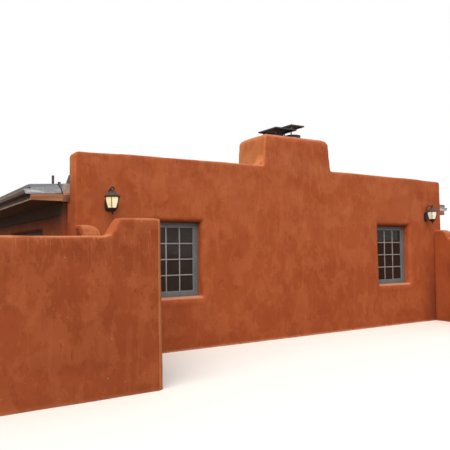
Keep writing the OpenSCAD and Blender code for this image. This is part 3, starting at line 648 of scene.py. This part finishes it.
# lime patching plaster beside the roof edge: pinkish white, hairline cracks
patch_plaster = coated("lime_patching_plaster", (0.9, 0, 0.2), "#9D9590", (
    ((0.05, 0.05, 0.08), 5, 0.45, 0.62, 0.6, "#8E7A70", ()),
    ((0.02, 0.02, 0.12), 3, 0.58, 0.70, 0.5, "#6F5A4F", ())),
    [(0, 0.003)])
print("finishes by slot:", sorted(finish))


# %% [markdown]
# ## Joinery and sheet metal, softened
#
# Real edges are never knife sharp: planed timber has an arris of 2 to 4 mm, and folded sheet has the
# radius of the brake. Where the construction model already has the right form, a copy of it is
# merged, its flat triangles are dissolved into whole faces, and a small bevel is put on its edges.
# The bevel catches the light and is what makes a frame read as a frame.

# %% Softened copies
def bevelled(thing, width, segments=2):
    """Rounds off all edges that turn by more than 35 degrees."""
    return shaped(thing, "BEVEL", width=width, segments=segments, limit_method="ANGLE",
                  angle_limit=math.radians(35))


def softened(nodes, width, segments=2):
    """A copy of construction nodes with whole faces and softened edges."""
    thing = copy_of(*nodes)
    pick(thing, "FACE", lambda f: True)
    bpy.ops.mesh.dissolve_limited(angle_limit=math.radians(1))
    bpy.ops.object.mode_set(mode="OBJECT")
    return bevelled(thing, width, segments)


for name, nodes, width, slot, material in (
        ("courtyard_door_frame", ["door_frame"], 0.003, "window_paint", door_paint),
        ("courtyard_door_panels", ["door_leaves", "door_sidelights"], 0.004, "window_paint", door_paint),
        ("courtyard_door_levers", ["door_handles"], 0.001, "dark_steel", None)):
    finish_piece(softened(nodes, width), name, slot, nodes, material)


# %% [markdown]
# ## Windows
#
# Each window is a painted frame, a sash inside it, and slim glazing bars that cut the opening into
# three panes by four. A ring like this could be four mitred sticks. Quicker and just as true is a
# block whose two faces are inset and then bridged into a hole. One window is made at the origin and
# copied to each opening.

# %% Windows
member = 0.045      # width of a frame's and a sash's members


def ring(low, high, edge):
    """A frame of four members seen along Y."""
    thing = block(low, high)
    pick(thing, "FACE", lambda f: abs(f.normal.y) > 0.9)
    bpy.ops.mesh.inset(thickness=member)
    bpy.ops.mesh.bridge_edge_loops()
    bpy.ops.object.mode_set(mode="OBJECT")
    return bevelled(thing, edge)


def glazing_bars():
    """Two upright bars and three level ones, 18 mm wide."""
    bars = [block((x - 0.009, 0.163, 0.935), (x + 0.009, 0.191, 1.97)) for x in (-0.1208, 0.1208)]
    bars += [block((-0.367, 0.162, z - 0.009), (0.367, 0.192, z + 0.009)) for z in (1.19625, 1.4525, 1.70875)]
    return joined(*[bevelled(bar, 0.004) for bar in bars])


for side, spots in (("front", front), ("back", back), ("side", right_side + left_side)):
    frames = placed(ring((-win_x, 0.142, win_low), (win_x, 0.212, win_top), 0.003), spots)
    finish_piece(frames, "frames_of_" + side + "_windows", "window_paint", [side + "_window_frames"], frame_paint)
    sashes = placed(ring((member - win_x, 0.156, win_low + member), (win_x - member, 0.198, win_top - member), 0.004),
                    spots)
    finish_piece(sashes, "sashes_of_" + side + "_windows", "window_paint", [side + "_window_sashes"])
    finish_piece(placed(glazing_bars(), spots), "glazing_bars_of_" + side + "_windows", "window_paint",
                 material=bar_paint)


# %% [markdown]
# ## Turned forms
#
# Chimney pots, vent boots and the lantern's parts are all forms drawn up round an upright line. With
# many sides they look turned, and with six they look folded from sheet. A spin of a drawn outline
# would do. Here a circle is extruded up and scaled ring by ring, which keeps every step visible.

# %% Turned forms
def closed_up():
    """Merges the double points of the mesh being edited, turns its faces outward and leaves edit mode."""
    bpy.ops.mesh.select_all(action="SELECT")
    bpy.ops.mesh.remove_doubles(threshold=0.00002)
    bpy.ops.mesh.normals_make_consistent(inside=False)
    bpy.ops.object.mode_set(mode="OBJECT")


def turned(profile, sides, centre=(0, 0, 0), turn=0.0):
    """A closed form from (radius, height) pairs, with its place in its mesh."""
    clear()
    bpy.ops.mesh.primitive_circle_add(vertices=sides, radius=profile[0][0], fill_type="NGON",
                                      location=(0, 0, profile[0][1]))
    thing = settle(bpy.context.object)
    bpy.ops.object.mode_set(mode="EDIT")
    bpy.ops.mesh.select_mode(type="FACE")
    bpy.ops.mesh.select_all(action="SELECT")
    for (r0, z0), (r1, z1) in zip(profile, profile[1:]):
        bpy.ops.mesh.extrude_region_move(TRANSFORM_OT_translate={"value": (0, 0, z1 - z0)})
        bpy.ops.transform.resize(value=(r1 / r0, r1 / r0, 1), center_override=(0, 0, z1))
    closed_up()
    thing.location = centre
    thing.rotation_euler.z = math.radians(turn)
    return settle(thing)


# %% Turned forms: flues and vents
def roof_z(x):
    """The height of the roof slab's top."""
    return 2.572 + fall * (xe - abs(x))


def pot(x, y, r):
    """A flue collar with a rolled rim."""
    return turned([(r, 3.56), (r, 3.755), (r + 0.006, 3.759), (r + 0.007, 3.766), (r + 0.003, 3.772),
                   (r - 0.008, 3.772), (r - 0.013, 3.766), (r - 0.014, 3.5)], 40, (x, y, 0))


def vent(x, y, r, rise):
    """A vent pipe with a rolled rim and a coupling, in a conical boot dressed over the felt."""
    z = roof_z(x)
    pipe = turned([(r, z - 0.15), (r, z + 0.55 * rise), (r + 0.005, z + 0.55 * rise + 0.004),
                   (r + 0.005, z + 0.55 * rise + 0.05), (r, z + 0.55 * rise + 0.054), (r, z + rise - 0.008),
                   (r + 0.003, z + rise - 0.004), (r + 0.001, z + rise), (r - 0.004, z + rise),
                   (r - 0.005, z + 0.3 * rise)], 24, (x, y, 0))
    boot = turned([(r + 0.12, z - 0.012), (r + 0.12, z + 0.012), (r + 0.04, z + 0.022), (r + 0.012, z + 0.05),
                   (r + 0.008, z + 0.075), (r + 0.001, z + 0.077)], 24, (x, y, 0))
    return joined(pipe, boot)


finish_piece(joined(pot(-0.1295, -4.395, 0.12), pot(0.2205, -4.428, 0.15)), "chimney_pots", "dark_steel",
             ["flue_collars"])
finish_piece(joined(vent(-3.3205, -0.6, 0.026, 0.595), vent(-3.4775, -1.65, 0.028, 0.339)), "roof_vents",
             "dark_steel", ["vent_pipes"])

# %% [markdown]
# ## Rain plates over the chimney
#
# Two steel plates keep rain out of the flues. Each is a sheet with its edges folded down, held up on
# flat bars screwed to the chimney's top. A lid is made from a block: the bottom face is deleted, the
# rest gets the sheet's thickness, and a slow noise gives the plate the slight buckle of old sheet.

# %% Rain plates
def rain_plate(low, high):
    """A sheet 3 mm thick with its edges folded down, in the space between two corners."""
    thing = block(low, high)
    pick(thing, "FACE", lambda f: f.normal.z < -0.9)
    bpy.ops.mesh.delete(type="FACE")
    bpy.ops.mesh.select_all(action="SELECT")
    bpy.ops.mesh.subdivide(number_cuts=7)
    bpy.ops.object.mode_set(mode="OBJECT")
    shaped(thing, "SOLIDIFY", thickness=0.003)
    shaped(thing, "DISPLACE", texture=hills, texture_coords="LOCAL", direction="Z", strength=0.008, mid_level=0.5)
    return bevelled(thing, 0.0012, 1)


for side, low, high in (("left", (-0.3645, -4.665, 3.826), (0.1305, -4.11, 3.85)),
                        ("right", (0.0505, -4.605, 3.928), (0.3705, -4.255, 3.952))):
    finish_piece(rain_plate(low, high), "rain_plate_" + side, "dark_steel", ["rain_cap_" + side])
feet = [bevelled(block((x - 0.03, y - 0.02, 3.64), (x + 0.03, y + 0.02, 3.676)), 0.002)
        for x, y in ((-0.2745, -4.55), (-0.2745, -4.17), (0.0905, -4.55), (0.0905, -4.17), (0.1525, -4.267))]
finish_piece(joined(softened(["cap_legs"], 0.001, 1), *feet), "rain_plate_legs", "bright_steel", ["cap_legs"])


# %% [markdown]
# ## Wall lanterns
#
# Each lantern hangs from a bent arm on an oblong back plate: a six-sided roof, six panes of frosted
# glass between curved bars, and a bowl with a pointed drop. The six-sided parts are turned forms
# with six sides. The arm is one small circle that is extruded and spun round its bends.

# %% Wall lanterns: back plate, arm and ring
lamp_y = -0.175     # the middle of a lantern, from the wall's face


def lantern_plate():
    """An oblong plate with round ends and a raised panel."""
    plate = block((-0.056, -0.012, -0.126), (0.056, 0.02, 0.09))
    pick(plate, "EDGE", lambda e: abs(e.verts[0].co.y - e.verts[1].co.y) > 0.01)
    bpy.ops.mesh.bevel(offset=0.0555, segments=9, affect="EDGES")
    pick(plate, "FACE", lambda f: f.normal.y < -0.9)
    bpy.ops.mesh.inset(thickness=0.016)
    bpy.ops.mesh.extrude_region_move(TRANSFORM_OT_translate={"value": (0, -0.008, 0)})
    bpy.ops.object.mode_set(mode="OBJECT")
    return bevelled(plate, 0.002)


def lantern_arm():
    """A rod 16 mm thick: out of the plate, up, over in a half circle and down to the ring."""
    clear()
    bpy.ops.mesh.primitive_circle_add(vertices=10, radius=0.008, fill_type="NGON", location=(0, -0.016, 0.03),
                                      rotation=(math.radians(90), 0, 0))
    arm = settle(bpy.context.object)
    bpy.ops.object.mode_set(mode="EDIT")
    bpy.ops.mesh.select_all(action="SELECT")
    bpy.ops.mesh.extrude_region_move(TRANSFORM_OT_translate={"value": (0, -0.004, 0)})
    bpy.ops.mesh.spin(steps=5, angle=math.radians(90), center=(0, -0.02, 0.042), axis=(1, 0, 0))
    bpy.ops.mesh.extrude_region_move(TRANSFORM_OT_translate={"value": (0, 0, 0.0985)})
    bpy.ops.mesh.spin(steps=14, angle=math.radians(180), center=(0, -0.1035, 0.1405), axis=(-1, 0, 0))
    bpy.ops.mesh.extrude_region_move(TRANSFORM_OT_translate={"value": (0, 0, -0.02)})
    closed_up()
    print("lantern arm rises to", round(max(v.co.z for v in arm.data.vertices), 3), "m above its plate")
    return arm


def lantern_ring():
    """The ring on the roof that hangs from the arm's end."""
    clear()
    bpy.ops.mesh.primitive_torus_add(location=(0, lamp_y, 0.198), rotation=(math.radians(90), 0, 0),
                                     major_radius=0.028, minor_radius=0.012, major_segments=28, minor_segments=10)
    return settle(bpy.context.object)


# %% Wall lanterns: curved bars
def pane_r(z):
    """How far the corner between two panes stands from the middle, at height z, in metres."""
    return 0.104 - 0.036 * ((0.08 - z) / 0.16) ** 2


def lantern_bar(turn):
    """One curved bar, drawn up from a small rectangle in seven steps."""
    heights = [-0.084 + 0.169 * i / 7 for i in range(8)]
    clear()
    bpy.ops.mesh.primitive_plane_add(size=1, location=(0, pane_r(heights[0]) + 0.002, heights[0]))
    bar = bpy.context.object
    bar.scale = (0.011, 0.010, 1)
    settle(bar)
    bpy.ops.object.mode_set(mode="EDIT")
    bpy.ops.mesh.select_all(action="SELECT")
    for a, b in zip(heights, heights[1:]):
        bpy.ops.mesh.extrude_region_move(TRANSFORM_OT_translate={"value": (0, pane_r(b) - pane_r(a), b - a)})
    bpy.ops.mesh.select_all(action="SELECT")
    bpy.ops.mesh.normals_make_consistent(inside=False)
    bpy.ops.object.mode_set(mode="OBJECT")
    bar.location = (0, lamp_y, 0)
    bar.rotation_euler.z = math.radians(turn)
    return bevelled(settle(bar), 0.002, 1)


# %% Wall lanterns: the whole
def wall_lantern(side, x, z, turn, glass):
    """A lantern on the end wall; turn is where its first corner points, in degrees from +Y."""
    middle = (0, lamp_y, 0)
    parts = [lantern_plate(), lantern_arm(), lantern_ring()] + [lantern_bar(turn + 60 * i) for i in range(6)]
    parts.append(turned([(0.112, 0.073), (0.122, 0.075), (0.127, 0.079), (0.127, 0.096), (0.120, 0.100),
                         (0.106, 0.106), (0.060, 0.143), (0.047, 0.149), (0.047, 0.156), (0.034, 0.161),
                         (0.026, 0.166), (0.026, 0.176), (0.018, 0.182), (0.004, 0.184)], 6, middle, turn))
    parts.append(turned([(0.066, -0.079), (0.082, -0.081), (0.085, -0.088), (0.076, -0.099), (0.058, -0.115),
                         (0.036, -0.130), (0.018, -0.142), (0.016, -0.148), (0.021, -0.154), (0.012, -0.162),
                         (0.004, -0.180)], 6, middle, turn))
    steps = [-0.08 + 0.16 * i / 6 for i in range(7)]
    panes = turned([(pane_r(-0.08), -0.0805)] + [(pane_r(s), s) for s in steps], 6, middle, turn)
    body = joined(*parts)
    for thing in (body, panes):
        thing.location = (x, -face_y, z)
        settle(thing)
    finish_piece(body, "wall_lantern_" + side + "_body", "lantern_metal", ["lantern_" + side], crease=28)
    finish_piece(panes, "wall_lantern_" + side + "_panes", "lantern_glass", ["lantern_" + side + "_glass"], glass,
                 crease=25)


wall_lantern("left", -3.632, 2.311, 154, finish["lantern_glass"])
wall_lantern("right", 3.6105, 2.285, 125, pale_glass)


# %% [markdown]
# ## Roof covering
#
# A roof this low is covered with felt in sheets about a metre wide, laid along the eaves from the
# bottom up so that each sheet laps over the one below. At the parapets and round the chimney the
# felt is turned up the wall. The sheets are laid out flat first, each from a thin block whose lower
# edge is extruded over its neighbour, and the finished layer is then tilted to the fall of the roof.

# %% Roof covering
felt, lap = 0.005, 0.09    # thickness of a sheet, and how far it lies on the next one


def felt_sheet(side, x0, x1, y0, y1, last):
    """A sheet from x0 to x1 of one slope, with its lower edge over its neighbour unless it is the last one."""
    thing = block((x0, y0, 0), (x1, y1, felt), side)
    if not last:
        pick(thing, "FACE", lambda f: f.normal.x * side > 0.9)
        bpy.ops.mesh.extrude_region_move(TRANSFORM_OT_translate={"value": (side * 0.02, 0, felt + 0.0005)})
        bpy.ops.mesh.extrude_region_move(TRANSFORM_OT_translate={"value": (side * lap, 0, 0)})
        bpy.ops.object.mode_set(mode="OBJECT")
    return thing


def upright_felt(side, x0, x1, y0, y1):
    """Felt turned up a wall by 150 mm."""
    return bevelled(block((x0, y0, -0.01), (x1, y1, 0.15), side), 0.006)


for side, name, edge in ((1, "right", 0.8655), (-1, "left", 0.7535)):    # edge is the chimney's side
    lines = [0] + [edge + (xe - 0.008 - edge) * i / 4 for i in range(5)]
    sheets = [felt_sheet(side, lines[i], lines[i + 1], -3.95 if i == 0 else -4.497, 4.497, i == 4) for i in range(5)]
    for i, y in enumerate((-1.6, 1.9, -0.4, 2.8), 1):    # one end lap a sheet, staggered
        end = felt_sheet(side, lines[i] + 0.12, lines[i + 1], y, y + 0.12, True)
        sheets.append(moved(end, lambda v: True, (0, 0, 0.004)))
    sheets.append(upright_felt(side, edge, xr - 0.01, -4.51, -4.482))
    sheets.append(upright_felt(side, 0, xr - 0.01, 4.482, 4.51))
    sheets.append(upright_felt(side, edge - 0.015, edge + 0.012, -4.49, -3.94))
    sheets.append(upright_felt(side, 0, edge + 0.012, -3.965, -3.938))
    cover = joined(*sheets)
    cover.location.z = roof_z(0)
    cover.rotation_euler.y = side * math.atan(fall)
    finish_piece(settle(cover), "roof_felt_" + name, "roofing")

# %% [markdown]
# ## The roof edge
#
# Under the felt the edge shows a folded flashing of galvanised steel, a stained board, and at the
# eaves an enamelled gutter on the eave board. Long boards come in lengths of about three metres, so
# they show butt joints. The small shoulders between the end wall and the roof edge are patched with
# pale plaster. Each corner piece is a small block with its edges softened, and one loop over the
# signs of the four corners makes them all, because the corners are mirror images.

# %% Roof edge: boards
board_top, board_end = 2.511, 4.475    # top of the eave boards, and where all boards end along the house
boards = [bevelled(block((xg - 0.025, y0, board_low), (xg, y1, board_top), side), 0.003)
          for side in (-1, 1) for y0, y1 in ((-board_end, -1.62), (-1.618, 1.38), (1.382, board_end))]
finish_piece(joined(*boards), "eave_board_lengths", "stained_board", ["eave_boards"], eave_wood)

boards = []
inner, wide = 4.1955, 0.115    # the first soffit board's inner edge, and the width of one with its gap
for side in (-1, 1):
    for row, joint in enumerate((-1.3, 1.1, -2.2, 0.3)):    # each row has one joint
        near, far = inner + wide * row, inner + wide * (row + 1) - 0.001
        for y0, y1 in ((-board_end, joint), (joint + 0.001, board_end)):
            boards.append(bevelled(block((near, y0, board_low), (far, y1, board_low + 0.02), side), 0.004, 1))
finish_piece(joined(*boards), "soffit_boards", "timber", ["soffits"])
finish_piece(softened(["rake_boards"], 0.003), "rake_board_lengths", "stained_board", ["rake_boards"], across_wood)

# %% Roof edge: flashings, straps, blocks and patches at the four corners
corners = [(sx, sy) for sx in (-1, 1) for sy in (-1, 1)]
flash_z = roof_z(xo)    # the top of the rake flashing where it meets the side wall
sheets, straps, blocks, patches = [softened(["rake_flashings"], 0.0012, 1)], [], [], []
for sx, sy in corners:
    # a dark steel strap over the end of the flashing, bent back in six steps
    strap = block((xo + 0.006, 4.506, flash_z - 0.142), (xo + 0.022, 4.513, flash_z + 0.002), sx, sy)
    pick(strap, "EDGE", lambda e: abs(e.verts[0].co.z - e.verts[1].co.z) > 0.1)
    bpy.ops.mesh.subdivide(number_cuts=5)
    for k in range(6):
        moved(strap, lambda v: v.co.z > flash_z - 0.13 + 0.024 * k, (sx * 0.003 * (k + 1), 0, 0))
    straps.append(bevelled(strap, 0.0012, 1))
    # the cheek of sheet turned up against the parapet
    cheek = block((xr - 0.02, 4.482, 2.56), (xo - 0.025, 4.494, 2.74), sx, sy)
    moved(cheek, lambda v: v.co.z > 2.7 and abs(v.co.x) > xr, (sx * -0.062, 0, 0))
    sheets.append(bevelled(cheek, 0.0015, 1))
    # screw heads 9 mm wide
    for i in range(4):
        x = sx * (xo + 0.11 + 0.1 * i)
        head = turned([(0.0045, 0), (0.004, 0.0025), (0.001, 0.003)], 8)
        head.rotation_euler.x = math.radians(180 - 90 * sy)
        head.location = (x, sy * 4.508, roof_z(x) - 0.085)
        sheets.append(settle(head))
    # the short block that closes the corner under the flashing
    blocks.append(bevelled(block((xr - 0.01, 4.46, 2.338), (xo + 0.004, 4.516, 2.44), sx, sy), 0.003))
    # a lump of patching plaster on the shoulder
    patch = block((xr - 0.03, 4.46, 2.448), (xo + 0.002, 4.506, flash_z + 0.008), sx, sy)
    pick(patch, "FACE", lambda f: True)
    bpy.ops.mesh.subdivide(number_cuts=5)
    bpy.ops.object.mode_set(mode="OBJECT")
    shaped(patch, "DISPLACE", texture=dents, texture_coords="LOCAL", strength=0.008)
    patches.append(bevelled(patch, 0.008))
finish_piece(joined(*sheets), "rake_flashing_sheets", "flashing", ["rake_flashings"])
finish_piece(joined(*straps), "rake_flashing_straps", "dark_steel")
finish_piece(joined(*blocks), "roof_edge_blocks", "timber", material=finish["stained_board"])
finish_piece(joined(*patches), "roof_edge_patches", "adobe", material=patch_plaster)

# %% [markdown]
# ### Gutters and downpipes
#
# The gutters keep the section of the construction model. What is added is what a plumber adds: a
# rolled bead along the front, a sleeve over each joint, end plates, and collars on the pipes.

# %% Gutters
section = ((0.0, 2.4335), (0.068, 2.4335), (0.083, 2.448), (0.092, 2.459), (0.096, 2.471), (0.109, 2.493),
           (0.109, 2.512))    # the outside of the gutter, from the eave board


def gutter_sleeve(side, y):
    """A strip of sheet 60 mm wide round the gutter at y, drawn along its section."""
    clear()
    bpy.ops.mesh.primitive_plane_add(size=1)
    sleeve = bpy.context.object
    pick(sleeve, "VERT", lambda v: True)
    shape = bmesh.from_edit_mesh(sleeve.data)
    for v in shape.verts:
        end = v.co.x > 0
        v.co = (side * (xg + section[end][0]), y + math.copysign(0.03, v.co.y), section[end][1])
        v.select_set(end)
    shape.select_flush_mode()
    bmesh.update_edit_mesh(sleeve.data)
    for (x0, z0), (x1, z1) in zip(section[1:], section[2:]):
        bpy.ops.mesh.extrude_edges_move(TRANSFORM_OT_translate={"value": (side * (x1 - x0), 0, z1 - z0)})
    bpy.ops.object.mode_set(mode="OBJECT")
    return shaped(sleeve, "SOLIDIFY", thickness=0.002, offset=0)


parts = [softened(["gutters"], 0.0012, 1)]
for side in (-1, 1):
    parts.append(bevelled(block((xg + 0.097, -edge_y, 2.505), (xg + 0.109, edge_y, 2.516), side), 0.0045, 3))
    parts += [gutter_sleeve(side, y) for y in (-1.5, 1.5)]
finish_piece(joined(*parts), "gutters_with_beads", "gutter_paint", ["gutters"])

plates = []
for sx, sy in corners:    # a galvanised plate closes each end of a gutter
    plate = block((xg + 0.001, 4.498, 2.437), (xg + 0.104, 4.503, 2.509), sx, sy)
    moved(plate, lambda v: v.co.z < 2.45 and abs(v.co.x) > xg + 0.05, (sx * -0.036, 0, 0))
    plates.append(bevelled(plate, 0.001, 1))
finish_piece(joined(*plates), "gutter_end_plates", "flashing")

# %% Collars on the downpipes
pipe_x, pipe_y, pipe_r = 4.2945, 4.2, 0.033    # place of the downpipes, and the inside of their collars
collars = []
for side in (-1, 1):
    for z in (0.075, 0.62, 1.80):
        collars.append(turned([(pipe_r, z), (0.0375, z + 0.002), (0.0385, z + 0.006), (0.0385, z + 0.034),
                               (0.0375, z + 0.038), (pipe_r, z + 0.04)], 24, (side * pipe_x, pipe_y, 0)))
    collars.append(turned([(pipe_r, 2.38), (0.039, 2.383), (0.039, 2.417), (pipe_r, 2.42)], 24,
                          (side * (xg + 0.045), pipe_y, 0)))    # under the gutter's outlet
finish_piece(joined(*collars), "downpipe_collars", "gutter_paint")

# %% [markdown]
# ## Construction parts that stay
#
# The floor, the roof boards, the timbers, the glass, the drip edges and the pipes already have the
# form of the real thing. They are kept as they are, and take the finish of the slot that the record
# gives them, except for four that have one of their own.

# %% Finish the construction parts that stay
own = {"roof_beams": rafter_wood, "wall_plates": plate_wood, "drip_edges": finish["gutter_paint"],
       "door_glass": porch_glass}
kept = []
for part in frame["record"]["subparts"]:
    node = cad[part["node"]]
    if node.hide_render:
        continue
    node.data.materials.clear()
    node.data.materials.append(own.get(part["node"], finish[part["material_slot"]]))
    kept.append(part["node"])
print("kept:", kept)

# %% [markdown]
# ## Floor and light
#
# The house stands on a plain pale floor that fades into a white background. One broad soft lamp
# stands to the left at the height of an afternoon sun, and a bright sky fills the shadows. The
# floor sends back less light than the camera sees in it, as bare ground does, so that the eaves
# stay in shade.

# %% Floor
clear()
bpy.ops.mesh.primitive_plane_add(size=240, location=(0, 0, 0))
ground = bpy.context.object
ground.name = "pale_floor"
floor_finish, tree, shader, place = new_material("pale_studio_floor", 0.9, 0, 0.5)
rays = add(tree, "ShaderNodeLightPath")
seen = add(tree, "ShaderNodeMixRGB", {"Fac": rays.outputs["Is Camera Ray"]},
           {"Color1": linear("#8A7462"), "Color2": linear("#E4E2DE")})
tree.links.new(seen.outputs[0], shader.inputs["Base Color"])
out = next(n for n in tree.nodes if n.type == "OUTPUT_MATERIAL")
away = add(tree, "ShaderNodeVectorMath", {0: place}, operation="LENGTH")
far = add(tree, "ShaderNodeMapRange", {"Value": away.outputs["Value"]}, {"From Min": 14, "From Max": 45},
          interpolation_type="SMOOTHSTEP")
far_seen = add(tree, "ShaderNodeMath", {0: far.outputs[0], 1: rays.outputs["Is Camera Ray"]}, operation="MULTIPLY")
white = add(tree, "ShaderNodeEmission", values={"Color": (1, 1, 1, 1), "Strength": 1})
fade = add(tree, "ShaderNodeMixShader", {0: far_seen.outputs[0], 1: shader.outputs[0], 2: white.outputs[0]})
tree.links.new(fade.outputs[0], out.inputs["Surface"])
ground.data.materials.append(floor_finish)
print("floor", [round(d) for d in ground.dimensions[:2]], "m")

# %% Sky and lamp
world = bpy.data.worlds.new("studio")
bpy.context.scene.world = world
world.use_nodes = True
tree = world.node_tree
tree.nodes.clear()
rays = add(tree, "ShaderNodeLightPath")
seen = add(tree, "ShaderNodeMath", {0: rays.outputs["Is Camera Ray"], 1: rays.outputs["Is Glossy Ray"]},
           operation="MAXIMUM")
height = add(tree, "ShaderNodeSeparateXYZ", {"Vector": add(tree, "ShaderNodeTexCoord").outputs["Generated"]})
bright = add(tree, "ShaderNodeMapRange", {"Value": height.outputs["Z"]}, {"To Min": 0.42, "To Max": 1.0})
sky = add(tree, "ShaderNodeBackground", {"Strength": bright.outputs[0]}, {"Color": linear("#EEF2FA")})
backdrop = add(tree, "ShaderNodeBackground", values={"Color": (1, 1, 1, 1), "Strength": 1})
both = add(tree, "ShaderNodeMixShader", {0: seen.outputs[0], 1: sky.outputs[0], 2: backdrop.outputs[0]})
add(tree, "ShaderNodeOutputWorld", {"Surface": both.outputs[0]})

lamp = bpy.data.objects.new("broad_lamp", bpy.data.lights.new("broad_lamp", "SUN"))
bpy.context.scene.collection.objects.link(lamp)
lamp.data.energy = 3.84
lamp.data.angle = math.radians(70)
lamp.data.color = linear("#FFF6EA")[:3]
lamp.rotation_euler = Vector((-0.46, -0.60, 0.72)).to_track_quat("Z", "Y").to_euler()
bpy.context.scene.view_settings.view_transform = "Standard"
print("lamp turned to", [round(a, 2) for a in lamp.rotation_euler])

# %% Update the view layer
bpy.context.view_layer.update()
